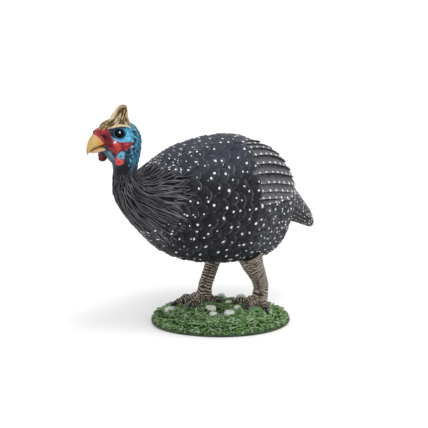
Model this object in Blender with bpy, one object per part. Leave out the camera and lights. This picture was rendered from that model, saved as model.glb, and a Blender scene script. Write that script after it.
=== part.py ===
"""Painted plastic figurine of a helmeted guinea fowl, walking on an oval base of grass and pebbles.

The tables below are in millimetres and the model is in metres, +Z up. The bird faces -Y, so its left
side is at +X. The origin is on the underside of the base, below the middle of the bird's body.
"""

import math
import random

import bmesh
import bpy
import numpy as np
from mathutils import Euler, Matrix, Vector

MM = 0.001
GAP = 0.3  # between neighbouring pieces
SIDES = ("left", "right")

# The bird's side outline from the beak's root to the rump, as stations that fan round the bends of
# throat and nape. Each is a dorsal point (y, z), a ventral point (y, z), a half width, and how far
# the widest level sinks towards the belly, as a share of that width.
BODY = [
    (-33.6, 49.0, -32.7, 44.9, 1.9, 0.00),
    (-32.5, 50.0, -31.8, 44.2, 2.6, 0.00),
    (-30.6, 50.9, -31.0, 43.5, 3.1, 0.00),
    (-27.6, 51.2, -30.3, 42.8, 3.4, 0.00),
    (-24.8, 50.1, -29.7, 42.0, 3.5, 0.00),
    (-23.1, 48.3, -29.3, 41.2, 3.4, 0.00),
    (-22.7, 46.0, -29.1, 40.3, 3.2, 0.00),
    (-23.0, 43.4, -29.0, 39.2, 2.9, 0.00),
    (-23.6, 41.0, -29.0, 37.8, 2.7, 0.00),
    (-23.8, 39.2, -29.0, 35.8, 2.9, 0.00),
    (-22.8, 37.8, -28.6, 33.4, 3.7, 0.00),
    (-21.0, 37.8, -27.1, 30.4, 5.1, 0.03),
    (-18.0, 39.5, -24.4, 27.0, 6.9, 0.06),
    (-14.0, 41.0, -20.6, 23.0, 9.1, 0.08),
    (-9.2, 42.0, -16.1, 18.8, 10.9, 0.10),
    (-3.6, 42.7, -10.4, 16.0, 12.2, 0.12),
    (2.2, 42.8, -3.8, 14.4, 12.8, 0.12),
    (8.0, 41.4, 2.9, 13.6, 12.8, 0.10),
    (12.4, 38.6, 9.2, 13.8, 11.8, 0.08),
    (15.6, 35.0, 11.5, 17.7, 9.0, 0.05),
    (17.3, 31.2, 13.3, 22.0, 5.7, 0.00),
    (17.7, 28.6, 15.0, 25.4, 2.6, 0.00),
]
HEAD_END, NECK_START = 7.70, 7.88  # stations where thin cuts part the head, neck and torso
NECK_END, TORSO_START = 12.10, 12.19
AROUND_HEAD, AROUND_TORSO = 22, 32  # points in a ring

EYE_CENTRE = (2.3, -29.5, 48.85)
EYE_RADIUS = 0.95
LID_RADIUS, LID_THICKNESS = 1.15, 0.28
LID_STRETCH = 1.2  # the lids' opening is longer than high
LID_X = 2.85  # where the lids stand on the side of the head
EAR_CENTRE, EAR_RADIUS = (3.45, -25.8, 48.3), 0.5
NOSTRIL_CENTRE, NOSTRIL_RADIUS = (2.0, -33.0, 48.6), 0.4
CERE_CENTRE, CERE_SIZE = (1.2, -32.6, 48.4), (0.95, 1.35, 1.15)
CHEEK_FOLD = [(2.3, -32.6, 46.8, 0.5), (2.8, -30.9, 45.9, 0.85), (3.1, -28.8, 45.8, 0.7),
              (3.2, -26.8, 46.2, 0.3)]

# Helmet stations upwards: height, middle y, half length, half width
CASQUE = [
    (49.4, -28.6, 4.3, 2.6),
    (50.1, -28.6, 4.3, 2.9),
    (50.7, -28.3, 3.4, 2.5),
    (51.4, -28.0, 2.5, 1.9),
    (52.3, -27.7, 2.0, 1.5),
    (53.2, -27.3, 1.6, 1.2),
    (53.9, -27.0, 1.3, 0.9),
    (54.3, -26.8, 0.5, 0.4),
]
CASQUE_FLUTES, FLUTE_DEPTH = 9, 0.09

# Beak stations from root to tip: dorsal (y, z), ventral (y, z), half width
UPPER_BEAK = [
    (-33.9, 48.9, -31.8, 46.4, 2.00),
    (-34.6, 48.6, -33.4, 46.1, 1.75),
    (-35.4, 47.8, -34.8, 45.8, 1.25),
    (-36.1, 46.7, -35.6, 45.4, 0.80),
    (-36.4, 45.5, -36.1, 44.8, 0.45),
    (-36.3, 44.5, -36.2, 44.4, 0.12),
]
LOWER_BEAK = [
    (-32.3, 45.9, -32.1, 44.8, 1.70),
    (-33.4, 45.75, -33.2, 44.7, 1.35),
    (-34.6, 45.4, -34.4, 44.5, 0.95),
    (-35.6, 45.0, -35.5, 44.6, 0.40),
]
BEAKS = {"beak_upper": UPPER_BEAK, "beak_lower": LOWER_BEAK}

WATTLE_CENTRES = {"left": (2.9, -29.6, 43.3), "right": (-2.8, -30.5, 43.05)}
WATTLE_SIZE = (0.75, 1.25, 1.75)  # half thickness, half width, half height
WATTLE_LEAN, WATTLE_SPLAY = -12, 14  # degrees, tip backwards and outwards

# Folded wing: a pad on the body between two stations and two angles from the spine
WING_STATIONS = (12.6, 18.4)
WING_ANGLES = (12, 98)
WING_HEIGHT, WING_EDGE = 0.9, 0.5
# Its flight vanes run back along the body: angle where each starts and ends, and its tip's station
VANE_START = 16.2
FLIGHT_VANES = [(21, 14, 17.6), (31, 22, 18.3), (41, 31, 18.8), (51, 42, 18.9), (61, 54, 18.9), (71, 66, 18.6),
                (81, 77, 18.2)]
VANE_HALF_WIDTH = 1.6
VANE_SECTION = [(-1.0, -0.25), (0.9, 0.35), (1.0, 0.0), (0.0, -0.5)]  # share of width, height: sunk to raised

# Tail: a drooping wedge, with a fan of vanes laid over it
TAIL = [
    (13.6, 35.8, 13.0, 21.6, 5.0),
    (17.4, 32.0, 17.4, 20.9, 4.4),
    (21.3, 27.0, 21.3, 19.5, 3.3),
    (24.6, 22.6, 24.5, 18.3, 2.3),
    (26.9, 19.2, 26.7, 17.5, 1.3),
]
TAIL_VANES_A_SIDE = 3
TAIL_VANE_WIDTH, TAIL_VANE_THICKNESS = 1.5, 0.35

# Each leg as points down its middle with a half thickness, ending above the foot
LEGS = {
    "left": [(6.4, 3.4, 16.5, 3.0), (6.0, 4.8, 13.6, 2.5), (5.0, 7.2, 10.0, 1.9), (4.3, 8.6, 7.4, 1.75),
             (4.1, 8.8, 6.0, 1.7), (4.1, 8.6, 5.0, 1.8)],
    "right": [(-6.0, 4.3, 16.6, 2.4), (-5.5, 2.2, 12.0, 1.8), (-5.0, 0.5, 9.0, 1.6), (-4.7, -0.6, 7.0, 1.6),
              (-4.6, -0.9, 6.0, 1.6), (-4.6, -1.1, 5.0, 1.75)],
}
SCUTE_PITCH, SCUTE_DEPTH = 1.0, 0.10
FOOT_HEADING = {"left": 22, "right": -24}  # degrees from -Y, outwards
TOES = {"inner": (-45, 6.3), "middle": (0, 7.1), "outer": (45, 6.6), "hind": (-145, 3.7)}  # turn, length
TOE_SHARE = {"left": 0.90, "right": 0.97}  # the left toes are a little shorter
TOE_RADIUS, CLAW_LENGTH = 0.95, 1.3

# Oval base
BASE_CENTRE = (2.2, -1.4)
BASE_HALF_LENGTH, BASE_HALF_WIDTH = 15.8, 12.3
BASE_TURN = 53  # degrees from +X to its long axis
BASE_PROFILE = [(0.97, 0.0), (1.0, 0.3), (1.0, 0.7), (0.94, 1.3), (0.82, 1.9), (0.6, 2.4), (0.3, 2.65)]
BASE_TOP = 2.7
GRASS_BLADES, BLADE_SPACING, GRASS_EDGE = 52, 1.7, 0.95
BLADE_LENGTHS, BLADE_RISE = (2.4, 4.0), 0.5

# Pebbles on the base: x, y, half length, half width, half height, turn in degrees
PEBBLES = [
    (1.2, -3.7, 1.6, 1.15, 0.7, 30),
    (6.3, -2.1, 1.35, 1.2, 0.6, 80),
    (4.6, -5.4, 1.1, 0.9, 0.5, 10),
    (4.4, 1.7, 1.0, 0.8, 0.5, 60),
    (0.2, 2.4, 1.1, 0.8, 0.5, 120),
    (-6.2, 5.1, 1.3, 1.0, 0.9, 20),
    (-2.6, 8.2, 1.5, 1.0, 0.9, 50),
    (-5.2, -10.5, 1.5, 1.1, 0.6, 70),
]


def clear_scene():
    for obj in list(bpy.data.objects):
        bpy.data.objects.remove(obj, do_unlink=True)


def make_collection(name):
    made = bpy.data.collections.new(name)
    bpy.context.scene.collection.children.link(made)
    return made


def paint(name, colour, roughness=0.5):
    material = bpy.data.materials.new(name)
    material.use_nodes = True
    shader = material.node_tree.nodes["Principled BSDF"]
    shader.inputs["Base Color"].default_value = (*colour, 1)
    shader.inputs["Roughness"].default_value = roughness
    return material


def through(rows, where):
    """A smooth curve through the rows of a table, read at row numbers that may fall between rows."""
    rows = np.asarray(rows, float)
    padded = np.vstack([2 * rows[0] - rows[1], rows, 2 * rows[-1] - rows[-2]])
    made = []
    for t in np.atleast_1d(where):
        row = int(min(max(t, 0), len(rows) - 2))
        f = t - row
        a, b, c, d = padded[row : row + 4]
        made.append(b + 0.5 * f * (c - a + f * (2 * a - 5 * b + 4 * c - d + f * (3 * b - a + d - 3 * c))))
    return np.array(made)


def mesh_object(name, shape, collection):
    """An object from a bmesh in millimetres, with its faces pointing out."""
    bmesh.ops.recalc_face_normals(shape, faces=shape.faces)
    bmesh.ops.scale(shape, vec=(MM, MM, MM), verts=shape.verts)
    mesh = bpy.data.meshes.new(name)
    shape.to_mesh(mesh)
    shape.free()
    obj = bpy.data.objects.new(name, mesh)
    collection.objects.link(obj)
    return obj


def loft(name, rings, collection):
    """A closed body through rings of equally many points, with flat ends."""
    shape = bmesh.new()
    rows = [[shape.verts.new(p) for p in ring] for ring in rings]
    shape.faces.new(rows[0])
    shape.faces.new(rows[-1])
    for near, far in zip(rows, rows[1:]):
        for k in range(len(near)):
            n = (k + 1) % len(near)
            shape.faces.new((near[k], near[n], far[n], far[k]))
    return mesh_object(name, shape, collection)


def sheet(name, upper, lower, collection):
    """A closed plate between two grids of points, split into triangles alike on both faces."""
    shape = bmesh.new()
    grids = [[[shape.verts.new(p) for p in row] for row in grid] for grid in (upper, lower)]
    rows, columns = len(upper), len(upper[0])
    for grid in grids:
        for r in range(rows - 1):
            for c in range(columns - 1):
                a, b, d, e = grid[r][c], grid[r][c + 1], grid[r + 1][c], grid[r + 1][c + 1]
                shape.faces.new((a, b, e))
                shape.faces.new((a, e, d))
    rim = [(0, c) for c in range(columns)]
    rim += [(r, columns - 1) for r in range(1, rows)]
    rim += [(rows - 1, c) for c in range(columns - 2, -1, -1)]
    rim += [(r, 0) for r in range(rows - 2, 0, -1)]
    for (r, c), (s, d) in zip(rim, rim[1:] + rim[:1]):
        shape.faces.new((grids[0][r][c], grids[0][s][d], grids[1][s][d], grids[1][r][c]))
    return mesh_object(name, shape, collection)


def ball(name, centre, radii, collection, turn=(0, 0, 0), segments=16, rings=10):
    shape = bmesh.new()
    bmesh.ops.create_uvsphere(shape, u_segments=segments, v_segments=rings, radius=1)
    place = Matrix.Translation(centre) @ Euler([math.radians(a) for a in turn]).to_matrix().to_4x4()
    bmesh.ops.transform(shape, matrix=place @ Matrix.Diagonal((*radii, 1)), verts=shape.verts)
    return mesh_object(name, shape, collection)


def tube(name, points, collection, resolution=2):
    """A round bar along points (x, y, z, radius), with filled and welded ends."""
    curve = bpy.data.curves.new(name, "CURVE")
    curve.dimensions = "3D"
    curve.bevel_depth = MM
    curve.bevel_resolution = resolution
    curve.use_fill_caps = True
    spline = curve.splines.new("POLY")
    spline.points.add(len(points) - 1)
    for point, (x, y, z, radius) in zip(spline.points, points):
        point.co = (x * MM, y * MM, z * MM, 1)
        point.radius = radius
    source = bpy.data.objects.new(name, curve)
    collection.objects.link(source)
    mesh = bpy.data.meshes.new_from_object(source.evaluated_get(bpy.context.evaluated_depsgraph_get()))
    mesh.transform(source.matrix_world)
    bpy.data.objects.remove(source, do_unlink=True)
    shape = bmesh.new()
    shape.from_mesh(mesh)
    bmesh.ops.remove_doubles(shape, verts=shape.verts, dist=0.001 * MM)
    bmesh.ops.scale(shape, vec=(1 / MM, 1 / MM, 1 / MM), verts=shape.verts)
    bpy.data.meshes.remove(mesh)
    return mesh_object(name, shape, collection)


def apply_modifiers(obj):
    baked = bpy.data.meshes.new_from_object(obj.evaluated_get(bpy.context.evaluated_depsgraph_get()))
    obj.modifiers.clear()
    obj.data = baked


def keep_largest(obj):
    """Drops all but the largest closed surface of a mesh."""
    shape = bmesh.new()
    shape.from_mesh(obj.data)
    left, islands = set(shape.faces), []
    while left:
        island, edge_of = set(), [left.pop()]
        while edge_of:
            face = edge_of.pop()
            island.add(face)
            for edge in face.edges:
                for other in edge.link_faces:
                    if other in left:
                        left.discard(other)
                        edge_of.append(other)
        islands.append(island)
    islands.sort(key=lambda island: sum(face.calc_area() for face in island))
    for island in islands[:-1]:
        bmesh.ops.delete(shape, geom=list(island), context="FACES")
    loose = [v for v in shape.verts if not v.link_faces]
    bmesh.ops.delete(shape, geom=loose, context="VERTS")
    shape.to_mesh(obj.data)
    shape.free()


def combine(obj, others, operation, solver="EXACT"):
    """One Boolean of an object with a list of others, which are then removed."""
    group = make_collection("boolean_operands")
    for other in others:
        for old in list(other.users_collection):
            old.objects.unlink(other)
        group.objects.link(other)
    step = obj.modifiers.new(operation.lower(), "BOOLEAN")
    step.operation = operation
    step.operand_type = "COLLECTION"
    step.collection = group
    step.solver = solver
    apply_modifiers(obj)
    for other in others:
        bpy.data.objects.remove(other, do_unlink=True)
    bpy.data.collections.remove(group)
    keep_largest(obj)
    return obj


def swell(obj, distance):
    """Moves a mesh's surface outwards."""
    shape = bmesh.new()
    shape.from_mesh(obj.data)
    shape.normal_update()
    for vert in shape.verts:
        vert.co += vert.normal * distance * MM * min(vert.calc_shell_factor(), 1.4)
    shape.to_mesh(obj.data)
    shape.free()
    return obj


def grown(obj, distance, collection):
    """A copy of an object with its surface moved outwards, as a cutter that leaves a gap."""
    copy = obj.copy()
    copy.data = obj.data.copy()
    collection.objects.link(copy)
    copy.display_type = "WIRE"
    copy.hide_render = True
    return swell(copy, distance)


def cut_clear(obj, neighbours, cutters, solver="EXACT"):
    """Cuts an object back to the usual gap from its neighbours."""
    return combine(obj, [grown(other, GAP, cutters) for other in neighbours], "DIFFERENCE", solver)


def finish(obj, material):
    obj.data.materials.clear()
    obj.data.materials.append(material)
    obj.data.shade_smooth()
    obj.data.set_sharp_from_angle(angle=math.radians(40))
    return obj


def profile_point(station, angle):
    """The point of a station at an angle in degrees from the spine towards the left."""
    dorsal_y, dorsal_z, ventral_y, ventral_z, half_width = station[:5]
    sink = station[5] if len(station) > 5 else 0
    up, side = math.cos(math.radians(angle)), math.sin(math.radians(angle))
    share = (1 + up) / 2
    return Vector((
        half_width * side * (1 - sink * up),
        ventral_y + share * (dorsal_y - ventral_y),
        ventral_z + share * (dorsal_z - ventral_z),
    ))


def profile_ring(station, count):
    return [profile_point(station, 360 * k / count) for k in range(count)]


def on_body(station, angle, raised=0.0):
    """A point on the body at a station and an angle from the spine, raised off the surface."""

    def at(s, a):
        return profile_point(through(BODY, s)[0], a)

    along = at(station + 0.05, angle) - at(station - 0.05, angle)
    around = at(station, angle + 1) - at(station, angle - 1)
    outward = along.cross(around).normalized()
    here = at(station, angle)
    if outward.x * here.x < 0:
        outward = -outward
    return here + outward * float(raised)


def mirrored(point, side):
    """A left-hand point, or the same point on the right."""
    x, *rest = point
    return (x if side == "left" else -x, *rest)


def body_stretch(name, start, end, count, around, collection):
    stations = through(BODY, np.linspace(start, end, count))
    return loft(name, [profile_ring(s, around) for s in stations], collection)


def make_head(name, grow, parts):
    """The head with its lids, cere and cheek folds, or the same made larger all round as a cutter."""
    head = swell(body_stretch(name, 0, HEAD_END, 19, AROUND_HEAD, parts), grow)
    added = []
    for side in SIDES:
        eye = mirrored(EYE_CENTRE, side)
        middle = []
        for k in range(16):
            angle = 2 * math.pi * k / 16
            middle.append((math.copysign(LID_X, eye[0]), eye[1] + LID_RADIUS * LID_STRETCH * math.cos(angle),
                           eye[2] + LID_RADIUS * math.sin(angle)))
        added.append(ring_around("lids", middle, LID_THICKNESS + grow, parts))
        cere = [size + grow for size in CERE_SIZE]
        added.append(ball("cere", mirrored(CERE_CENTRE, side), cere, parts, segments=12, rings=6))
        fold = [(*mirrored(p[:3], side), p[3] + grow) for p in through(CHEEK_FOLD, np.linspace(0, 3, 7))]
        added.append(tube("cheek_fold", fold, parts, resolution=1))
    return combine(head, added, "UNION")


def pierce_head(head, cutters):
    """Cuts the eye sockets, ear holes and nostrils."""
    removed = []
    for side in SIDES:
        eye, ear, nostril = (mirrored(c, side) for c in (EYE_CENTRE, EAR_CENTRE, NOSTRIL_CENTRE))
        removed.append(ball("socket", eye, [EYE_RADIUS + GAP] * 3, cutters, (0, 90, 0), 14, 8))
        removed.append(ball("ear_pit", ear, [EAR_RADIUS] * 3, cutters, segments=10, rings=6))
        pit = (0.6, 1.5 * NOSTRIL_RADIUS, NOSTRIL_RADIUS)
        removed.append(ball("nostril_pit", nostril, pit, cutters, segments=10, rings=6))
    return combine(head, removed, "DIFFERENCE")


def ring_around(name, middle, thickness, collection):
    """A ring of round section through a closed list of points that lie across X."""
    centre = sum((Vector(p) for p in middle), Vector()) / len(middle)
    shape = bmesh.new()
    rows = []
    for p in middle:
        outward = (Vector(p) - centre).normalized()
        row = []
        for k in range(5):
            angle = 2 * math.pi * k / 5
            offset = math.cos(angle) * outward + math.sin(angle) * Vector((1, 0, 0))
            row.append(shape.verts.new(Vector(p) + thickness * offset))
        rows.append(row)
    for near, far in zip(rows, rows[1:] + rows[:1]):
        for k in range(5):
            n = (k + 1) % 5
            shape.faces.new((near[k], near[n], far[n], far[k]))
    return mesh_object(name, shape, collection)


def make_casque(parts):
    rings = []
    for height, middle, half_length, half_width in through(CASQUE, np.linspace(0, len(CASQUE) - 1, 11)):
        ring = []
        for k in range(3 * CASQUE_FLUTES):
            angle = 2 * math.pi * k / (3 * CASQUE_FLUTES)
            flute = 1 + FLUTE_DEPTH * math.cos(CASQUE_FLUTES * angle) * (0.3 if height < 50.6 else 1)
            ring.append((half_width * flute * math.sin(angle), middle - half_length * flute * math.cos(angle), height))
        rings.append(ring)
    return loft("casque", rings, parts)


def make_beak(name, stations, parts):
    return loft(name, [profile_ring(s, 14) for s in through(stations, np.linspace(0, len(stations) - 1, 8))], parts)


def make_wattle(side, parts):
    turn = (WATTLE_LEAN, WATTLE_SPLAY if side == "right" else -WATTLE_SPLAY, 0)
    return ball("wattle_" + side, WATTLE_CENTRES[side], WATTLE_SIZE, parts, turn, segments=12, rings=8)


def wing_pad(name, side, grow, parts):
    sign = 1 if side == "left" else -1
    upper, lower = [], []
    rows, columns = 16, 12
    middle = 0.5 * (WING_ANGLES[0] + WING_ANGLES[1])
    for r in range(rows):
        s = r / (rows - 1)
        station = WING_STATIONS[0] + s * (WING_STATIONS[1] - WING_STATIONS[0])
        reach = 0.5 * (WING_ANGLES[1] - WING_ANGLES[0]) * math.sin(math.pi * min(0.5, 0.12 + 0.75 * s))
        over, under = [], []
        for c in range(columns):
            a = 2 * c / (columns - 1) - 1
            swell = (1 - abs(a) ** 4) * min(1, 4 * s + 0.1)
            angle = sign * (middle + reach * a)
            height = GAP + WING_EDGE + (WING_HEIGHT - WING_EDGE) * swell
            over.append(on_body(station, angle, height + grow))
            under.append(on_body(station, angle, GAP - grow))
        upper.append(over)
        lower.append(under)
    return sheet(name, upper, lower, parts)


def vane(name, rows, half_width, grow, collection):
    """A vane along (point, outward, side) rows, tilted so that its one edge stands proud, round at the tip."""
    rings = []
    for k, (here, outward, across) in enumerate(rows):
        left = (len(rows) - 1 - k) / (len(rows) - 1)
        width = half_width * math.sqrt(1 - (1 - min(1, 3.2 * left + 0.08)) ** 2) + grow
        ring = []
        for share, height in VANE_SECTION:
            ring.append(here + across * (share * width) + outward * (height + math.copysign(grow, height)))
        rings.append(ring)
    return loft(name, rings, collection)


def make_wing(name, side, grow, parts):
    """A folded wing: the pad of its coverts with the flight vanes laid over it and past its end."""
    wing = wing_pad(name, side, grow, parts)
    sign = 1 if side == "left" else -1
    vanes = []
    for first, last, tip in FLIGHT_VANES:
        rows = []
        for f in np.linspace(0, 1, 7):
            station = VANE_START + f * (tip - VANE_START)
            angle = sign * (first + f * (last - first))
            here = on_body(station, angle, GAP + WING_HEIGHT)
            outward = (on_body(station, angle, GAP + WING_HEIGHT + 1) - here).normalized()
            lower = on_body(station, angle + sign, GAP + WING_HEIGHT) - here
            rows.append((here, outward, lower.normalized()))
        vanes.append(vane("vane", rows, VANE_HALF_WIDTH, grow, parts))
    return combine(wing, vanes, "UNION")


def make_tail(parts):
    core = loft("tail", [profile_ring(s, 20) for s in through(TAIL, np.linspace(0, len(TAIL) - 1, 9))], parts)
    vanes = []
    for k in range(-TAIL_VANES_A_SIDE, TAIL_VANES_A_SIDE + 1):
        angle = k * 78 / TAIL_VANES_A_SIDE
        rows = []
        for station in np.linspace(0.6, 4.0 - 0.12 * abs(k), 6):
            here = profile_point(through(TAIL, station)[0], angle)
            beside = profile_point(through(TAIL, station)[0], angle + 2) - here
            ahead = profile_point(through(TAIL, station + 0.1)[0], angle) - here
            rows.append((here, beside.cross(ahead).normalized(), beside.normalized() * (1 if k >= 0 else -1)))
        vanes.append(vane("tail_vane", rows, TAIL_VANE_WIDTH, 0, parts))
    return combine(core, vanes, "UNION")


def make_leg(side, parts):
    path = through(LEGS[side], np.linspace(0, len(LEGS[side]) - 1, 60))
    points, travelled, due = [], 0.0, 0.0
    for before, after in zip(path, path[1:]):
        travelled += math.dist(before[:3], after[:3])
        if travelled >= due:
            high = len(points) % 2 == 0
            points.append((*after[:3], after[3] * (1 + (SCUTE_DEPTH if high else -SCUTE_DEPTH) / 2)))
            due += SCUTE_PITCH / 2
    return tube("leg_" + side, points, parts, resolution=4)


def base_reach(x, y):
    """How far out a place lies on the oval base: 0 in the middle and 1 at its edge."""
    turn = math.radians(-BASE_TURN)
    dx, dy = x - BASE_CENTRE[0], y - BASE_CENTRE[1]
    u = (dx * math.cos(turn) - dy * math.sin(turn)) / BASE_HALF_LENGTH
    v = (dx * math.sin(turn) + dy * math.cos(turn)) / BASE_HALF_WIDTH
    return math.hypot(u, v)


def base_height(x, y):
    """The height of the base's top, without the grass, at a place."""
    shares, heights = zip(*[(0.0, BASE_TOP)] + BASE_PROFILE[:1:-1])
    return float(np.interp(base_reach(x, y), shares, heights))


def make_foot(side, parts):
    """Three front toes and a hind toe with claws, fused to the ankle and flat where they meet the base."""
    ankle = Vector(LEGS[side][-1][:3])
    sign = 1 if side == "left" else -1
    pieces = []
    for turn, full_length in TOES.values():
        length = TOE_SHARE[side] * full_length
        heading = math.radians(FOOT_HEADING[side] + sign * turn)
        forward = Vector((math.sin(heading), -math.cos(heading), 0))
        toe, claw = [], []
        for k in range(9):
            f = k / 8
            spot = ankle + forward * length * f
            ground = base_height(spot.x, spot.y) + GAP
            rise = max(0, 1 - 2.2 * f) ** 1.5 * (ankle.z - 1.0 - ground)
            radius = TOE_RADIUS * (1.15 - 0.45 * f) * (1 + (0.06 if k % 2 else -0.06))
            toe.append((spot.x, spot.y, ground + 0.75 * radius + rise, radius))
        for g in (0, 0.35, 0.7, 1):
            spot = ankle + forward * (length - 0.3 + CLAW_LENGTH * g)
            ground = base_height(spot.x, spot.y) + GAP
            claw.append((spot.x, spot.y, max(ground + 0.2, toe[-1][2] + 0.25 - 0.9 * g * g), 0.55 - 0.4 * g))
        pieces.append(tube("toe", toe, parts, resolution=1))
        pieces.append(tube("claw", claw, parts, resolution=1))
    hub = ball("foot_" + side, ankle - Vector((0, 0, 1.2)), (1.9, 1.9, 1.5), parts, segments=12, rings=8)
    foot = combine(hub, pieces, "UNION")
    for vert in foot.data.vertices:
        floor = (base_height(vert.co.x / MM, vert.co.y / MM) + GAP) * MM
        vert.co.z = min(max(vert.co.z, floor), (ankle.z - GAP) * MM)
    return foot


def on_base(u, v):
    """The place on the base's top at shares of its half length and half width."""
    turn = math.radians(BASE_TURN)
    along, across = u * BASE_HALF_LENGTH, v * BASE_HALF_WIDTH
    x = BASE_CENTRE[0] + along * math.cos(turn) - across * math.sin(turn)
    y = BASE_CENTRE[1] + along * math.sin(turn) + across * math.cos(turn)
    return Vector((x, y, base_height(x, y)))


def make_base(feet, parts):
    """The oval base with low grass blades all over, clear of the feet and the pebbles."""
    rings = []
    for share, height in BASE_PROFILE:
        ring = []
        for k in range(40):
            angle = math.pi * k / 20
            point = on_base(share * math.cos(angle), share * math.sin(angle))
            point.z = height
            ring.append(point)
        rings.append(ring)
    base = loft("base", rings, parts)
    taken = [(Vector((x, y, 0)), length) for x, y, length, *_ in PEBBLES]
    for foot in feet:
        taken += [(Vector((v.co.x, v.co.y, 0)) / MM, 0.2) for v in foot.data.vertices]
    draw = random.Random(7)
    blades = []
    while len(blades) < GRASS_BLADES:
        reach, angle = math.sqrt(draw.uniform(0, 1)), draw.uniform(0, 2 * math.pi)
        root = on_base(reach * math.cos(angle), reach * math.sin(angle))
        heading = draw.uniform(0, 2 * math.pi)
        step = Vector((math.cos(heading), math.sin(heading), 0)) * draw.uniform(*BLADE_LENGTHS) / 2
        spots = [root + step * k for k in range(3)]
        flat = [Vector((p.x, p.y, 0)) for p in spots]
        if any(base_reach(p.x, p.y) > GRASS_EDGE for p in spots):
            continue
        if any((p - spot).length < size + 0.9 for p in flat for spot, size in taken):
            continue
        if any((flat[1] - Vector((r.x, r.y, 0))).length < BLADE_SPACING for r, _ in blades):
            continue
        blades.append((flat[1], grass_blade(spots, parts)))
    return combine(base, [blade for _, blade in blades], "UNION")


def grass_blade(spots, collection):
    """A low blade over three places on the base, wide in the middle, its tip just sunk in again."""
    across = (spots[2] - spots[0]).cross(Vector((0, 0, 1))).normalized()
    rings = []
    for spot, half_width, rise in zip(spots, (0.35, 0.5, 0.12), (0.1, BLADE_RISE, 0.25)):
        here = Vector((spot.x, spot.y, base_height(spot.x, spot.y)))
        top = here + Vector((0, 0, rise))
        rings.append([here + across * half_width - Vector((0, 0, 0.25)), top,
                      here - across * half_width - Vector((0, 0, 0.25))])
    return loft("grass_blade", rings, collection)


def make_pebbles(parts):
    made = []
    for k, (x, y, half_length, half_width, half_height, turn) in enumerate(PEBBLES, 1):
        centre = (x, y, base_height(x, y) + 0.1)
        made.append(ball(f"pebble_{k}", centre, (half_length, half_width, half_height), parts, (0, 0, turn), 8, 6))
    return made


def main():
    clear_scene()
    parts = make_collection("guinea_fowl_figurine")
    cutters = make_collection("cutters")
    plumage = paint("plumage", (0.05, 0.05, 0.06))
    horn = paint("beak", (0.75, 0.5, 0.2))
    glass = paint("eye", (0.01, 0.01, 0.015), 0.1)
    wattle_paint = paint("wattle", (0.7, 0.08, 0.1))
    leg_paint = paint("leg", (0.35, 0.28, 0.22))

    head = pierce_head(make_head("head", 0, parts), cutters)
    finish(head, paint("face", (0.08, 0.35, 0.6)))
    on_head = [make_casque(parts)]
    on_head += [make_beak(name, stations, parts) for name, stations in BEAKS.items()]
    on_head += [make_wattle(side, parts) for side in SIDES]
    paints = [paint("casque", (0.55, 0.42, 0.25)), horn, horn, wattle_paint, wattle_paint]
    for piece, material in zip(on_head, paints):
        finish(combine(piece, [make_head("head_envelope", GAP, cutters)], "DIFFERENCE"), material)

    finish(body_stretch("neck", NECK_START, NECK_END, 12, AROUND_HEAD, parts), plumage)
    torso = finish(body_stretch("torso", TORSO_START, len(BODY) - 1, 20, AROUND_TORSO, parts), plumage)
    tail = make_tail(parts)
    envelopes, feet = [grown(torso, GAP, cutters)], []
    for side in SIDES:
        eye = ball("eye_" + side, mirrored(EYE_CENTRE, side), [EYE_RADIUS] * 3, parts, (0, 90, 0), 14, 8)
        finish(eye, glass)
        finish(make_wing("wing_" + side, side, 0, parts), plumage)
        envelopes.append(make_wing("wing_envelope_" + side, side, GAP, cutters))
        finish(cut_clear(make_leg(side, parts), [torso], cutters), leg_paint)
        feet.append(finish(make_foot(side, parts), leg_paint))
    finish(combine(tail, envelopes, "DIFFERENCE"), plumage)

    base = make_base(feet, parts)
    pebbles = make_pebbles(parts)
    cut_clear(base, pebbles, cutters)
    finish(base, paint("grass", (0.08, 0.25, 0.06)))
    for pebble in pebbles:
        finish(pebble, paint(pebble.name, (0.55, 0.57, 0.52)))


main()
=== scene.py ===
"""Painted plastic figurine of a helmeted guinea fowl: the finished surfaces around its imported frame.

The file is laid out as an add-on, with an operator for each group of pieces and one for the stage, and
it runs as a script. Tables are in millimetres, like those of the frame's source, and meshes in metres,
+Z up. The bird faces -Y, so its left side is at +X.
"""

import math
import random

import bmesh
import bpy
import numpy as np
from bpy.props import FloatProperty, FloatVectorProperty, IntProperty, PointerProperty
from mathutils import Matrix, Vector, noise


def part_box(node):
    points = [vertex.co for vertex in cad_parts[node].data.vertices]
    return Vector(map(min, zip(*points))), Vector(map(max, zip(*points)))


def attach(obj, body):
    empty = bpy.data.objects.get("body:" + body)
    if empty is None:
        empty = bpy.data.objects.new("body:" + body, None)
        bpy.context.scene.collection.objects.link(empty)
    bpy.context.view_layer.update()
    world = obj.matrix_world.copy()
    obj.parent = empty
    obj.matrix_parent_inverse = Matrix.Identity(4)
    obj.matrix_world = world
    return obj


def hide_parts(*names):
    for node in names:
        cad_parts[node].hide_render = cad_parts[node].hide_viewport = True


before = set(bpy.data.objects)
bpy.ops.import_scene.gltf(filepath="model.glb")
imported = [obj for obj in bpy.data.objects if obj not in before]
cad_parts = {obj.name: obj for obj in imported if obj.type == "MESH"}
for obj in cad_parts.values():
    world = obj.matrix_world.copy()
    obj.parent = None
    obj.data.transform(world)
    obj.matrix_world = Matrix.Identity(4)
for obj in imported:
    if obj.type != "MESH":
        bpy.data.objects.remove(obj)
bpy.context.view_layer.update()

bl_info = {
    "name": "Guinea Fowl Figurine",
    "version": (1, 0, 0),
    "blender": (4, 5, 0),
    "location": "View3D > Sidebar > Figurine",
    "description": "Models the painted surfaces of a small moulded guinea fowl on its grass base",
    "category": "Add Mesh",
}

MM = 0.001
SIDES = ("left", "right")

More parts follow.
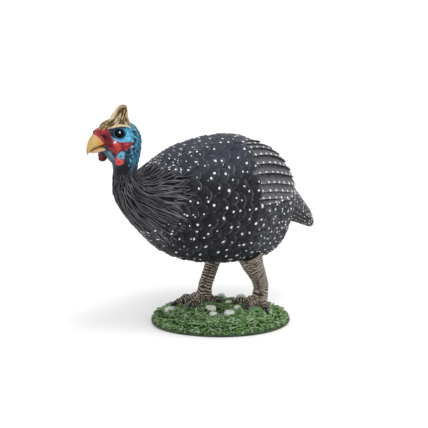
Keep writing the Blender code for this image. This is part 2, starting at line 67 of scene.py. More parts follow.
# The bird's side outline from the beak's root to the rump, as stations that fan round the bends of
# throat and nape. Each is a dorsal point (y, z), a ventral point (y, z), a half width, and how far
# the widest level sinks towards the belly, as a share of that width.
BODY = [
    (-33.6, 49.0, -32.7, 44.9, 1.9, 0.00),
    (-32.5, 50.0, -31.8, 44.2, 2.6, 0.00),
    (-30.6, 50.9, -31.0, 43.5, 3.1, 0.00),
    (-27.6, 51.2, -30.3, 42.8, 3.4, 0.00),
    (-24.8, 50.1, -29.7, 42.0, 3.5, 0.00),
    (-23.1, 48.3, -29.3, 41.2, 3.4, 0.00),
    (-22.7, 46.0, -29.1, 40.3, 3.2, 0.00),
    (-23.0, 43.4, -29.0, 39.2, 2.9, 0.00),
    (-23.6, 41.0, -29.0, 37.8, 2.7, 0.00),
    (-23.8, 39.2, -29.0, 35.8, 2.9, 0.00),
    (-22.8, 37.8, -28.6, 33.4, 3.7, 0.00),
    (-21.0, 37.8, -27.1, 30.4, 5.1, 0.03),
    (-18.0, 39.5, -24.4, 27.0, 6.9, 0.06),
    (-14.0, 41.0, -20.6, 23.0, 9.1, 0.08),
    (-9.2, 42.0, -16.1, 18.8, 10.9, 0.10),
    (-3.6, 42.7, -10.4, 16.0, 12.2, 0.12),
    (2.2, 42.8, -3.8, 14.4, 12.8, 0.12),
    (8.0, 41.4, 2.9, 13.6, 12.8, 0.10),
    (12.4, 38.6, 9.2, 13.8, 11.8, 0.08),
    (15.6, 35.0, 11.5, 17.7, 9.0, 0.05),
    (17.3, 31.2, 13.3, 22.0, 5.7, 0.00),
    (17.7, 28.6, 15.0, 25.4, 2.6, 0.00),
]
TAIL = [
    (13.6, 35.8, 13.0, 21.6, 5.0),
    (17.4, 32.0, 17.4, 20.9, 4.4),
    (21.3, 27.0, 21.3, 19.5, 3.3),
    (24.6, 22.6, 24.5, 18.3, 2.3),
    (26.9, 19.2, 26.7, 17.5, 1.3),
]
UPPER_BEAK = [
    (-33.9, 48.9, -31.8, 46.4, 2.00),
    (-34.6, 48.6, -33.4, 46.1, 1.75),
    (-35.4, 47.8, -34.8, 45.8, 1.25),
    (-36.1, 46.7, -35.6, 45.4, 0.80),
    (-36.4, 45.5, -36.1, 44.8, 0.45),
    (-36.3, 44.5, -36.2, 44.4, 0.12),
]
LOWER_BEAK = [
    (-32.3, 45.9, -32.1, 44.8, 1.70),
    (-33.4, 45.75, -33.2, 44.7, 1.35),
    (-34.6, 45.4, -34.4, 44.5, 0.95),
    (-35.6, 45.0, -35.5, 44.6, 0.40),
]
# Helmet stations upwards: height, middle y, half length, half width
CASQUE = [
    (49.2, -28.6, 4.3, 2.0),
    (49.9, -28.65, 4.45, 2.45),
    (50.4, -28.55, 4.25, 2.5),
    (51.0, -28.05, 2.8, 2.0),
    (51.8, -27.75, 2.1, 1.6),
    (52.6, -27.5, 1.9, 1.35),
    (53.4, -27.2, 1.5, 1.05),
    (54.0, -26.95, 1.2, 0.8),
    (54.3, -26.8, 0.5, 0.4),
]
# Each leg as points down its middle with a half thickness, ending above the foot
LEGS = {
    "left": [(6.4, 3.4, 16.5, 3.0), (6.0, 4.8, 13.6, 2.5), (5.0, 7.2, 10.0, 1.9), (4.3, 8.6, 7.4, 1.75),
             (4.1, 8.8, 6.0, 1.7), (4.1, 8.6, 5.0, 1.8)],
    "right": [(-6.0, 4.3, 16.6, 2.4), (-5.5, 2.2, 12.0, 1.8), (-5.0, 0.5, 9.0, 1.6), (-4.7, -0.6, 7.0, 1.6),
              (-4.6, -0.9, 6.0, 1.6), (-4.6, -1.1, 5.0, 1.75)],
}
FOOT_HEADING = {"left": 22, "right": -24}  # degrees from -Y, outwards
TOES = {"inner": (-45, 6.3), "middle": (0, 7.1), "outer": (45, 6.6), "hind": (-145, 3.7)}  # turn, length
TOE_SHARE = {"left": 0.90, "right": 0.97}  # the left toes are a little shorter
# Oval base: shares of its half length and half width with heights, from the middle out and down
BASE_CENTRE = (2.2, -1.4)
BASE_HALF_LENGTH, BASE_HALF_WIDTH, BASE_TURN = 15.8, 12.3, 53
BASE_PROFILE = [(0.0, 2.7), (0.3, 2.65), (0.6, 2.4), (0.82, 1.9), (0.94, 1.3), (1.0, 0.7), (1.0, 0.3), (0.97, 0.0)]

# Places on the side of the head, as (y, z)
EYE = (-29.75, 48.85)
EYE_RADIUS, EYE_DEPTH = 0.88, 0.45
NOSTRIL = (-33.35, 48.5)
WATTLE_CENTRES = {"left": (2.9, -29.6, 43.35), "right": (-2.8, -30.5, 43.05)}
WATTLE_SIZE = (0.75, 1.2, 1.65)  # half thickness, half width, half height
EAR = (-25.8, 48.55)
ALMOND = (-30.1, 49.0)
RED_BAND = [(-34.9, 51.4), (-32.7, 51.2), (-31.9, 49.9), (-31.8, 48.4), (-31.4, 47.7), (-29.9, 47.0), (-28.4, 46.8),
            (-26.3, 46.4), (-27.4, 45.3), (-28.3, 44.9), (-29.3, 44.9), (-30.1, 43.9), (-31.6, 45.0), (-32.4, 46.2),
            (-34.9, 46.2)]

def blue_end(side):
    """The station where the blue skin of the neck ends."""
    return 8.3 - 2.7 * step(90, 128, side)


def strands_end(side):
    """The station where the neck's strands give way to feathers."""
    return 13.1 - 1.5 * step(60, 18, side)


# Where the flight panel lies, by station and angle
PANEL_START, PANEL_END = 16.3, 19.0
PANEL_TOP = 17

# The photograph's view
AZIMUTH, ELEVATION = 53, 16
CAMERA_TARGET = (-0.83 * MM, -1.1 * MM, 24.8 * MM)
CAMERA_DISTANCE, CAMERA_LENS = 0.545, 200


class FigurineSizes(bpy.types.PropertyGroup):
    """Sizes of the moulded detail"""

    feather_width: FloatProperty(
        name="Feather width", description="Across one large scallop of the flank", default=3.2 * MM, unit="LENGTH")
    feather_gap: FloatProperty(
        name="Feather row gap", description="From one row of scallops to the next", default=2.15 * MM, unit="LENGTH")
    feather_rise: FloatProperty(
        name="Feather rise", description="How far a scallop's tip stands off the body", default=0.50 * MM,
        unit="LENGTH")
    strand_width: FloatProperty(
        name="Strand width", description="Across one strand of the neck", default=0.50 * MM, unit="LENGTH")
    spot_radius: FloatProperty(
        name="Spot radius", description="Of a painted white spot on the flank", default=0.29 * MM, unit="LENGTH")
    scute_pitch: FloatProperty(
        name="Scute pitch", description="From one ring of the legs to the next", default=0.62 * MM, unit="LENGTH")
    blade_length: FloatProperty(
        name="Grass blade length", description="Of a typical blade on the base", default=3.1 * MM, unit="LENGTH")
    blade_count: IntProperty(
        name="Grass blades", description="How many blades cover the base", default=1750, min=10)


class FigurineColours(bpy.types.PropertyGroup):
    """Colours of the hand painting"""

    charcoal: FloatVectorProperty(
        name="Charcoal", description="Ground colour of the plumage", subtype="COLOR", default=(0.0085, 0.0085, 0.0105))
    slate: FloatVectorProperty(
        name="Slate", description="Bluer cast on the back", subtype="COLOR", default=(0.024, 0.029, 0.042))
    dry_grey: FloatVectorProperty(
        name="Dry-brushed grey", description="On the feathers' raised edges", subtype="COLOR",
        default=(0.15, 0.15, 0.165))
    spot_white: FloatVectorProperty(
        name="Spot white", description="Spots on the feathers", subtype="COLOR", default=(0.72, 0.72, 0.72))
    face_blue: FloatVectorProperty(
        name="Face blue", description="Bare skin of head and nape", subtype="COLOR", default=(0.035, 0.19, 0.33))
    bright_blue: FloatVectorProperty(
        name="Bright blue", description="Highlights behind the eye", subtype="COLOR", default=(0.10, 0.44, 0.68))
    navy: FloatVectorProperty(
        name="Navy", description="Around the eye and in the folds", subtype="COLOR", default=(0.008, 0.022, 0.045))
    red: FloatVectorProperty(
        name="Red", description="Cere, cheek and wattle tips", subtype="COLOR", default=(0.315, 0.015, 0.024))
    tan: FloatVectorProperty(
        name="Tan", description="Helmet", subtype="COLOR", default=(0.42, 0.30, 0.15))
    brown: FloatVectorProperty(
        name="Brown", description="Wash in the helmet's wrinkles", subtype="COLOR", default=(0.055, 0.028, 0.009))
    ochre: FloatVectorProperty(
        name="Ochre", description="Beak", subtype="COLOR", default=(0.50, 0.33, 0.12))
    leg: FloatVectorProperty(
        name="Leg", description="Raised rings of the legs", subtype="COLOR", default=(0.47, 0.41, 0.34))
    leg_wash: FloatVectorProperty(
        name="Leg wash", description="Between the rings of the legs", subtype="COLOR", default=(0.022, 0.014, 0.009))
    grass: FloatVectorProperty(
        name="Grass", description="Blades on the base", subtype="COLOR", default=(0.105, 0.205, 0.065))
    grass_dark: FloatVectorProperty(
        name="Grass shade", description="Between the blades", subtype="COLOR", default=(0.012, 0.030, 0.010))
    grass_pale: FloatVectorProperty(
        name="Grass highlight", description="Dry-brushed on the highest blades", subtype="COLOR",
        default=(0.42, 0.52, 0.38))
    pebble: FloatVectorProperty(
        name="Pebble", description="Stones on the base", subtype="COLOR", default=(0.61, 0.64, 0.58))


class Wire:
    """An output in a material, on which plain arithmetic adds Math nodes."""

    def __init__(self, paint, socket):
        self.paint = paint
        self.socket = socket

    def maths(self, operation, *values):
        return self.paint.node("ShaderNodeMath", {"operation": operation}, values)

    def __add__(self, other):
        return self.maths("ADD", self, other)

    def __sub__(self, other):
        return self.maths("SUBTRACT", self, other)

    def __rsub__(self, other):
        return self.maths("SUBTRACT", other, self)

    def __mul__(self, other):
        return self.maths("MULTIPLY", self, other)

    def __pow__(self, other):
        return self.maths("POWER", self, other)

    __radd__ = __add__
    __rmul__ = __mul__

    def between(self, low, high):
        """0 below low, 1 above high, and a smooth step from one to the other."""
        return self.paint.node("ShaderNodeMapRange", {"interpolation_type": "SMOOTHSTEP"}, {0: self, 1: low, 2: high})


class Paint:
    """A painted plastic finish around one Principled shader."""

    def __init__(self, name, roughness, specular=0.3, gloss=0.0):
        self.material = bpy.data.materials.new(name)
        self.material.use_nodes = True
        self.tree = self.material.node_tree
        self.shader = self.tree.nodes["Principled BSDF"]
        self.shader.inputs["Roughness"].default_value = roughness
        self.shader.inputs["Specular IOR Level"].default_value = specular
        self.shader.inputs["Coat Weight"].default_value = gloss
        self.shader.inputs["Coat Roughness"].default_value = 0.12

    def node(self, kind, settings=None, sockets=(), output=0):
        """A node with its settings made first, then the values or wires of its sockets."""
        made = self.tree.nodes.new(kind)
        for setting, value in (settings or {}).items():
            setattr(made, setting, value)
        for key, value in sockets.items() if isinstance(sockets, dict) else enumerate(sockets):
            if isinstance(value, Wire):
                self.tree.links.new(value.socket, made.inputs[key])
            else:
                made.inputs[key].default_value = value
        return Wire(self, made.outputs[output])

    def attribute(self, name, output=2):
        """A mesh attribute: output 2 is its number, and 0 its colour."""
        return self.node("ShaderNodeAttribute", {"attribute_name": name}, output=output)

    def noise(self, size, detail=2.0):
        """Noise in object space, with blotches of a size in metres."""
        place = self.node("ShaderNodeTexCoord", output=3)
        return self.node("ShaderNodeTexNoise", sockets={"Vector": place, "Scale": 1 / size, "Detail": detail})

    def mix(self, share, first, second):
        """A colour from two, which are wires or plain RGB."""
        first, second = (c if isinstance(c, Wire) else (*c, 1) for c in (first, second))
        return self.node("ShaderNodeMix", {"data_type": "RGBA"}, {0: share, 6: first, 7: second}, 2)

    def colour(self, wire):
        self.tree.links.new(wire.socket, self.shader.inputs["Base Color"])

    def roughness(self, wire):
        self.tree.links.new(wire.socket, self.shader.inputs["Roughness"])

    def bump(self, height, strength, distance):
        """Relief too fine for the mesh: the height's unit is a distance in metres."""
        made = self.node("ShaderNodeBump", sockets={"Strength": strength, "Distance": distance, "Height": height})
        self.tree.links.new(made.socket, self.shader.inputs["Normal"])


def sizes():
    return bpy.context.scene.figurine_sizes


def colours():
    return bpy.context.scene.figurine_colours


def through(rows, where):
    """Smooth curves through the rows of a table, read at row numbers that may fall between rows."""
    rows = np.asarray(rows, float)
    padded = np.vstack([2 * rows[0] - rows[1], rows, 2 * rows[-1] - rows[-2]])
    where = np.clip(np.atleast_1d(np.asarray(where, float)), 0, len(rows) - 1)
    row = np.minimum(where.astype(int), len(rows) - 2)
    f = (where - row)[:, None]
    a, b, c, d = (padded[row + k] for k in range(4))
    return b + 0.5 * f * (c - a + f * (2 * a - 5 * b + 4 * c - d + f * (3 * (b - c) + d - a)))


def step(low, high, value):
    """0 below low, 1 above high, and a smooth step from one to the other."""
    t = np.clip((np.asarray(value, float) - low) / (high - low), 0, 1)
    return t * t * (3 - 2 * t)


def wing_relief(station, angle):
    """How far the folded wings swell the flank."""
    side = np.abs((np.asarray(angle) + 180) % 360 - 180)
    along = step(12.3, 14.2, station) * (1 - step(18.8, 19.9, station))
    rear = step(15.5, 17.8, station)
    return (0.8 - 0.2 * rear) * along * step(2, 28, side) * (1 - step(90 - 8 * rear, 112 - 14 * rear, side))


class Form:
    """A rounded form through a table of stations, read by station and by angle from the spine."""

    def __init__(self, rows, relief=None):
        self.rows = [(*row, 0.0)[:6] for row in rows]
        self.relief = relief

    def points(self, station, angle):
        table = through(self.rows, station)
        up, side = np.cos(np.radians(angle)), np.sin(np.radians(angle))
        share = (1 + up) / 2
        return np.stack([
            table[:, 4] * side * (1 - table[:, 5] * up),
            table[:, 2] + share * (table[:, 0] - table[:, 2]),
            table[:, 3] + share * (table[:, 1] - table[:, 3]),
        ], 1)

    def strides(self, station, angle):
        """Steps along and around the form: per station and per degree."""
        station = np.clip(station, 0.03, len(self.rows) - 1.03)
        along = (self.points(station + 0.02, angle) - self.points(station - 0.02, angle)) / 0.04
        around = (self.points(station, angle + 0.5) - self.points(station, angle - 0.5))
        return along, around

    def paces(self, station, angle):
        return [np.linalg.norm(stride, axis=1) for stride in self.strides(station, angle)]

    def surface(self, station, angle, raised=0.0):
        """Points at a height off the form."""
        along, around = self.strides(station, angle)
        outward = np.cross(around, along)
        outward /= np.linalg.norm(outward, axis=1)[:, None] + 1e-9
        height = np.asarray(raised, float)
        if self.relief:
            height = height + self.relief(station, angle)
        return self.points(station, angle) + outward * np.broadcast_to(height, len(outward))[:, None]


BODY_FORM = Form(BODY, wing_relief)
TAIL_FORM = Form(TAIL)


def deselect():
    if bpy.context.mode != "OBJECT":
        bpy.ops.object.mode_set(mode="OBJECT")
    bpy.ops.object.select_all(action="DESELECT")


def only(obj):
    deselect()
    obj.select_set(True)
    bpy.context.view_layer.objects.active = obj


def edit(obj):
    only(obj)
    bpy.ops.object.mode_set(mode="EDIT")
    bpy.ops.mesh.select_mode(type="VERT")


def pick(obj, test):
    """Selects, in edit mode, the vertices whose place passes a test."""
    bpy.ops.mesh.select_all(action="DESELECT")
    shape = bmesh.from_edit_mesh(obj.data)
    for vert in shape.verts:
        vert.select = bool(test(vert.co))
    shape.select_flush(True)
    bmesh.update_edit_mesh(obj.data)


def smooth(obj, degrees=35):
    only(obj)
    bpy.ops.object.shade_smooth_by_angle(angle=math.radians(degrees))
    return obj


def settle(obj, paint, slot, *nodes):
    """Gives a finished piece its paint and body, and hides the frame's nodes that it stands for. The slot is not used.
    """
    only(obj)
    bpy.ops.object.transform_apply(location=True, rotation=True, scale=True)
    obj.data.materials.clear()
    obj.data.materials.append(paint.material)
    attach(obj, "root")
    if nodes:
        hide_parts(*nodes)
    return obj


def mesh_piece(name, points, faces, attributes=None, patches=None):
    """A piece from points in millimetres, with number or colour attributes and the bake's patches."""
    mesh = bpy.data.meshes.new(name)
    mesh.from_pydata(np.asarray(points) * MM, [], faces)
    for key, values in (attributes or {}).items():
        values = np.asarray(values, np.float32)
        if values.ndim == 1:
            mesh.attributes.new(key, "FLOAT", "POINT").data.foreach_set("value", values)
        else:
            rgba = np.hstack([values, np.ones((len(values), 1), np.float32)])
            mesh.attributes.new(key, "FLOAT_COLOR", "POINT").data.foreach_set("color", rgba.ravel())
    if patches is not None:
        corner = np.zeros(len(mesh.loops), np.int32)
        mesh.loops.foreach_get("vertex_index", corner)
        layer = mesh.uv_layers.new(name="OFBake")
        layer.uv.foreach_set("vector", np.asarray(patches, np.float32)[corner].ravel())
    obj = bpy.data.objects.new(name, mesh)
    bpy.context.scene.collection.objects.link(obj)
    return obj


def ring_faces(rows, around, closed=True):
    """Faces between rows of points, and across the first and the last row."""
    faces = []
    for r in range(rows - 1):
        for k in range(around):
            n = (k + 1) % around
            faces.append((r * around + k, (r + 1) * around + k, (r + 1) * around + n, r * around + n))
    if closed:
        faces.append(tuple(range(around)))
        faces.append(tuple(range((rows - 1) * around, rows * around))[::-1])
    return faces


def face_outwards(obj):
    edit(obj)
    bpy.ops.mesh.select_all(action="SELECT")
    bpy.ops.mesh.normals_make_consistent(inside=False)
    bpy.ops.object.mode_set(mode="OBJECT")
    return obj


class Blade:
    """One feather, strand or leaf of unit size: its root at y 0, its tip at y 1, its sides at x -1 and 1."""

    def __init__(self, name, columns, rows, straight):
        """The share of its length that is straight before the tip rounds off."""
        deselect()
        bpy.ops.mesh.primitive_grid_add(x_subdivisions=columns, y_subdivisions=rows, size=2)
        model = bpy.context.object
        model.name = name
        edit(model)
        bpy.ops.mesh.select_all(action="SELECT")
        bpy.ops.transform.translate(value=(0, 1, 0))
        bpy.ops.transform.resize(value=(1, 0.5, 1), center_override=(0, 0, 0))
        lines = sorted({round(vert.co.x, 4) for vert in bmesh.from_edit_mesh(model.data).verts})
        self.rim = [round(vert.co.y, 4) for vert in bmesh.from_edit_mesh(model.data).verts]
        for x in lines:
            pick(model, lambda co: abs(co.x - x) < 1e-3)
            reach = straight + (1 - straight) * math.sqrt(max(0, 1 - x * x))
            bpy.ops.transform.resize(value=(1, reach, 1), center_override=(0, 0, 0))
            bpy.ops.transform.translate(value=(0, 0, -x * x))
        bpy.ops.mesh.select_all(action="SELECT")
        bpy.ops.mesh.region_to_loop()
        bpy.ops.mesh.extrude_edges_move(TRANSFORM_OT_translate={"value": (0, 0, -3)})
        bpy.ops.mesh.edge_face_add()
        bpy.ops.object.mode_set(mode="OBJECT")
        face_outwards(model)
        places = np.array([vert.co for vert in model.data.vertices])
        self.x, self.y, self.z = places.T
        self.foot = self.z < -1.5
        self.rim = np.array(self.rim + [1.0] * (len(places) - len(self.rim)))
        self.faces = [tuple(face.vertices) for face in model.data.polygons]
        bpy.data.objects.remove(model, do_unlink=True)


SPOT_FIELDS = "station,angle,length,width,turn,bend,wave,lift,slope,crown,tilt,tone,tint"


def as_spots(rows):
    return np.rec.fromrecords(rows, names=SPOT_FIELDS)


def spot(station, angle, length, width, turn=0.0, bend=0.0, wave=0.0, lift=0.0, slope=0.1, crown=0.1, tilt=0.0,
         tone=0.5, tint=0.0):
    """Where one blade lies and how: sizes in millimetres, angles in degrees."""
    return tuple(float(value) for value in (
        station, angle, length, width, turn, bend, wave, lift, slope, crown, tilt, tone, tint))


def where_on(spots, form, x, y):
    """The stations, angles and heights of places on blades, at shares x of half width and y of length."""
    along, around = form.paces(spots.station, spots.angle)
    side = x * spots.width / 2 + spots.bend * y**2 + spots.wave * np.sin(7 * y + 20 * spots.tone)
    ahead = y * spots.length
    cos, sin = np.cos(np.radians(spots.turn)), np.sin(np.radians(spots.turn))
    station = spots.station + (ahead * cos - side * sin) / along
    angle = spots.angle + (side * cos + ahead * sin) / around
    height = spots.lift + spots.slope * ahead - spots.crown * x**2 + spots.tilt * x * step(0.08, 0.32, y)
    return station, angle, height


def lay(name, blade, form, spots, sunk=0.45, spread=21.0):
    """Copies of a blade over a form, each bent to its surface, as one mesh."""
    count, each = len(spots), len(blade.x)
    many = np.repeat(spots, each).view(np.recarray)
    x, y = np.tile(blade.x, count), np.tile(blade.y, count)
    station, angle, height = where_on(many, form, x, y)
    foot = np.tile(blade.foot, count)
    height = np.where(foot, np.minimum(height - 0.25, -sunk), height)
    points = form.surface(station, angle, height)
    faces = []
    for k in range(count):
        faces += [tuple(k * each + corner for corner in face) for face in blade.faces]
    patch = 0.003
    u = 0.01 + 0.97 * many.station / spread + patch * (x + 1) / 2
    v = 0.01 + 0.97 * (many.angle % 360) / 360 + patch * y
    attributes = {
        "rim": np.tile(blade.rim, count),
        "barb": y * many.length - 0.9 * np.abs(x) * many.width / 2,
        "foot": foot.astype(float),
        "tone": many.tone,
        "tint": many.tint,
        "side": x * np.where(many.tilt < 0, -1, 1),
    }
    return mesh_piece(name, points, faces, attributes, np.stack([u, v], 1))


def staggered(form, start, end, gap_of, width_of):
    """Places in staggered rows down a form: station, angle, and the row's step in stations."""
    places, station, odd = [], start, 0
    turns = np.arange(0, 360.1, 2)
    while station < end:
        ring = form.points(np.full(len(turns), station), turns)
        reach = np.concatenate([[0], np.cumsum(np.linalg.norm(np.diff(ring, axis=0), axis=1))])
        count = 2 * round(reach[-1] / width_of(station) / 2)
        pace = form.paces(np.array([station]), np.array([90.0]))[0][0]
        stride = gap_of(station) / pace
        for k in range(count):
            angle = np.interp((k + 0.5 * odd) / count * reach[-1], reach, turns)
            places.append((station, (angle + 180) % 360 - 180, stride))
        station += stride
        odd = 1 - odd
    return places


def near(points, centre, radii, lean=0.0):
    """Distance from a place on the head's side, in shares of the radii."""
    dy, dz = points[:, 1] - centre[0], points[:, 2] - centre[1]
    c, s = math.cos(math.radians(lean)), math.sin(math.radians(lean))
    return np.hypot((dy * c + dz * s) / radii[0], (dz * c - dy * s) / radii[1])


def depth_inside(points, outline):
    """How far places on the head's side lie inside an outline, and less than 0 outside it."""
    y, z = points[:, 1], points[:, 2]
    least, crossings = np.full(len(points), 1e9), np.zeros(len(points), int)
    for (ay, az), (by, bz) in zip(outline, outline[1:] + outline[:1]):
        t = np.clip(((y - ay) * (by - ay) + (z - az) * (bz - az)) / ((by - ay) ** 2 + (bz - az) ** 2), 0, 1)
        least = np.minimum(least, np.hypot(y - ay - t * (by - ay), z - az - t * (bz - az)))
        spans = (az > z) != (bz > z)
        crossings += spans & (y < ay + (z - az) / (bz - az if bz != az else 1) * (by - ay))
    return np.where(crossings % 2 == 1, least, -least)


def grain(points, size, seed=0.0):
    """Smooth noise from -1 to 1 at points in millimetres."""
    return np.array([noise.noise(Vector(p) / size + Vector((seed, 0, 0))) for p in points])


def crease(points, start, end, width):
    """How near places on the head's side lie to a line, 1 on it and 0 well off it."""
    y, z = points[:, 1], points[:, 2]
    along = (end[0] - start[0], end[1] - start[1])
    share = ((y - start[0]) * along[0] + (z - start[1]) * along[1]) / (along[0] ** 2 + along[1] ** 2)
    share = np.clip(share, 0, 1)
    away = np.hypot(y - start[0] - share * along[0], z - start[1] - share * along[1])
    return np.exp(-((away / width) ** 2))


# Folds of the cheek, as (y, z) from and to with a width
CREASES = [((-32.3, 47.9), (-31.9, 46.2), 0.16), ((-29.3, 46.5), (-29.1, 44.9), 0.18),
           ((-31.9, 46.4), (-30.6, 44.2), 0.14), ((-28.7, 45.9), (-26.8, 46.1), 0.12)]


def head_relief(points, side):
    """The face's moulded forms: how far each raises or sinks the skin, in millimetres."""
    band = depth_inside(points, RED_BAND)
    eye = near(points, EYE, (1.18, 0.94), -8)
    nostril = near(points, NOSTRIL, (0.55, 0.44), -10)
    ear = near(points, EAR, (0.45, 0.45))
    raised = 0.25 * crease(points, (-33.4, 44.4), (-30.6, 42.6), 0.3) * step(75, 95, side)
    raised += 0.40 * step(-0.15, 0.55, band) * (0.15 + 0.85 * step(20, 65, side))
    raised += 0.38 * np.exp(-near(points, (-30.8, 45.9), (1.1, 1.3)) ** 2)
    raised += 0.28 * np.exp(-near(points, NOSTRIL, (1.1, 0.9)) ** 2) * step(10, 50, side)
    hole = 0.14 * np.exp(-((nostril - 1.1) / 0.3) ** 2) - 0.6 * np.exp(-((nostril / 0.75) ** 4))
    raised += hole * step(30, 45, side)
    raised += 0.45 * np.exp(-near(points, (-30.4, 42.2), (1.3, 1.2)) ** 2) * step(95, 130, side)
    raised += 0.26 * np.exp(-((eye - 1.10) / 0.14) ** 2) - 0.8 * (1 - step(0.75, 1.0, eye))
    raised += 0.14 * np.exp(-near(points, (-29.4, 50.0), (2.0, 0.35), 4) ** 2)
    raised += 0.12 * np.exp(-((ear - 1.2) / 0.35) ** 2) - 0.5 * np.exp(-(ear**4))
    raised -= 0.8 * np.exp(-near(points, (-32.9, 46.5), (0.9, 0.7)) ** 4)
    for start, end, width in CREASES:
        raised -= 0.24 * crease(points, start, end, width * 1.3)
    beads = 0.5 + 0.5 * np.sin(points[:, 1] * 2 * math.pi / 0.62)
    raised += 0.16 * beads * np.exp(-(((band + 0.20) / 0.17) ** 2)) * step(46.0, 46.6, points[:, 2])
    return raised + step(0.9, 1.3, eye) * (0.055 * grain(points, 0.45) + 0.07 * grain(points, 1.1, 7))


def blend(base, share, colour):
    return base + share[:, None] * (np.array(colour)[None, :] - base)


def head_paint(points, station, angle):
    """The hand painting of head and neck, as a colour for each point of the skin."""
    c = colours()
    side = np.abs((angle + 180) % 360 - 180)
    blotch = grain(points, 0.8, 3)
    fine = grain(points, 0.5, 12)
    colour = np.tile(np.array(c.face_blue), (len(points), 1))
    colour = blend(colour, step(-0.25, 0.45, blotch) * 0.7 * (1 - 0.7 * step(4.2, 5.6, station)), c.bright_blue)
    colour = blend(colour, step(3.6, 5.2, station) * 0.45, c.navy)
    colour = blend(colour, step(0.0, 0.4, -fine) * 0.75, c.navy)
    bright = np.exp(-near(points, (-27.9, 47.8), (1.9, 1.1), -20) ** 2)
    mottle = grain(points, 0.42, 31)
    colour = blend(colour, np.clip(bright * (1.25 + 0.5 * fine), 0, 1), c.bright_blue)
    colour = blend(colour, bright * step(0.10, 0.40, -mottle) * 0.6, (0.012, 0.09, 0.17))
    colour = blend(colour, bright * step(0.15, 0.45, mottle) * 0.65, (0.24, 0.60, 0.82))
    colour = blend(colour, step(95, 125, side) * step(2.2, 3.6, station) * 0.92, (0.008, 0.022, 0.030))
    almond = near(points, ALMOND, (2.0, 1.15), -10)
    colour = blend(colour, 0.97 * step(1.12, 0.95, almond), [0.45 * x for x in c.navy])
    # Navy under the helmet's rim, partly painted shade cast by the rim
    brow_navy_and_shade = step(49.5, 49.8, points[:, 2]) * step(-32.2, -31.4, points[:, 1]) * step(-26.8, -27.6, points[:, 1])
    colour = blend(colour, brow_navy_and_shade * 0.85, c.navy)
    lid = np.exp(-((near(points, EYE, (1.18, 0.94), -8) - 1.12) / 0.09) ** 2)
    colour = blend(colour, lid * 0.6, (0.07, 0.16, 0.24))
    colour = blend(colour, 0.7 * np.exp(-((almond - 1.08) / 0.05) ** 2) * step(49.1, 48.6, points[:, 2]), c.bright_blue)
    colour = blend(colour, step(50.4, 50.9, points[:, 2]), c.brown)
    colour = blend(colour, step(49.9, 50.2, points[:, 2]) * step(-31.0, -31.5, points[:, 1]), c.brown)
    colour = blend(colour, step(45.9, 45.2, points[:, 2]) * (1 - step(-29.4, -28.4, points[:, 1])) * 0.85, c.navy)
    band = depth_inside(points, RED_BAND)
    beads = 0.5 + 0.5 * np.sin(points[:, 1] * 2 * math.pi / 0.62)
    bead_line = np.exp(-(((band + 0.22) / 0.14) ** 2)) * step(46.0, 46.6, points[:, 2]) * step(-31.6, -30.6, points[:, 1])
    colour = blend(colour, bead_line * beads, (0.20, 0.55, 0.75))
    # Painted shade: dark just below the raised red band's lower edge
    colour = blend(colour, step(-0.42, -0.1, band) * step(46.3, 45.7, points[:, 2]) * 0.9, (0.012, 0.02, 0.03))
    # Painted shade: dark in the sunk corner of the mouth
    gape_shade = np.exp(-near(points, (-32.5, 45.4), (1.3, 1.3)) ** 4)
    colour = blend(colour, gape_shade * 0.9, (0.012, 0.030, 0.040))
    colour = blend(colour, step(-0.10, 0.08, band + 0.10 * grain(points, 0.5, 21)), c.red)
    colour = blend(colour, step(0.0, 0.4, -blotch) * step(0.0, 0.2, band) * 0.75, (0.16, 0.007, 0.012))
    colour = blend(colour, step(0.1, 0.45, fine) * step(0.1, 0.3, band) * 0.5, (0.62, 0.12, 0.12))
    outer = side - 10 * (angle > 180)  # the right nostril sits a little lower
    hollow = np.exp(-near(points, (-32.9, 48.2), (1.0, 1.05)) ** 4) * step(30, 50, outer)
    colour = blend(colour, hollow * 0.85, (0.10, 0.004, 0.009))
    # Painted highlight: lighter orange-red on the cheek's swelling
    cheek_swell_highlight = np.exp(-near(points, (-30.9, 46.0), (0.9, 1.2)) ** 2) * step(0.1, 0.5, band)
    colour = blend(colour, cheek_swell_highlight * 0.6, (0.60, 0.075, 0.045))
    # Painted shade: the cheek's sunk creases are darkened to a deep red
    for start, end, width in CREASES:
        colour = blend(colour, 0.6 * crease(points, start, end, width * 1.4), (0.10, 0.006, 0.010))
    shade = step(-31.2, -32.2, points[:, 1]) * step(0.0, 0.3, band) * (0.55 + 0.45 * fine)
    colour = blend(colour, np.clip(1.1 * shade, 0, 0.9) * step(25, 45, outer), (0.15, 0.007, 0.013))
    pit = np.exp(-near(points, NOSTRIL, (0.74, 0.66), -10) ** 4) * step(42, 52, outer) * step(0.05, 0.2, station)
    colour = blend(colour, pit, (0.020, 0.002, 0.004))
    # Painted highlight: a pale glint on the glossy red fold of the cheek
    glint = np.exp(-near(points, (-31.25, 47.2), (0.45, 0.20), 25) ** 4)
    colour = blend(colour, glint * 0.9, (0.85, 0.70, 0.72))
    colour = blend(colour, np.exp(-near(points, EAR, (0.48, 0.42)) ** 4), (0.003, 0.008, 0.016))
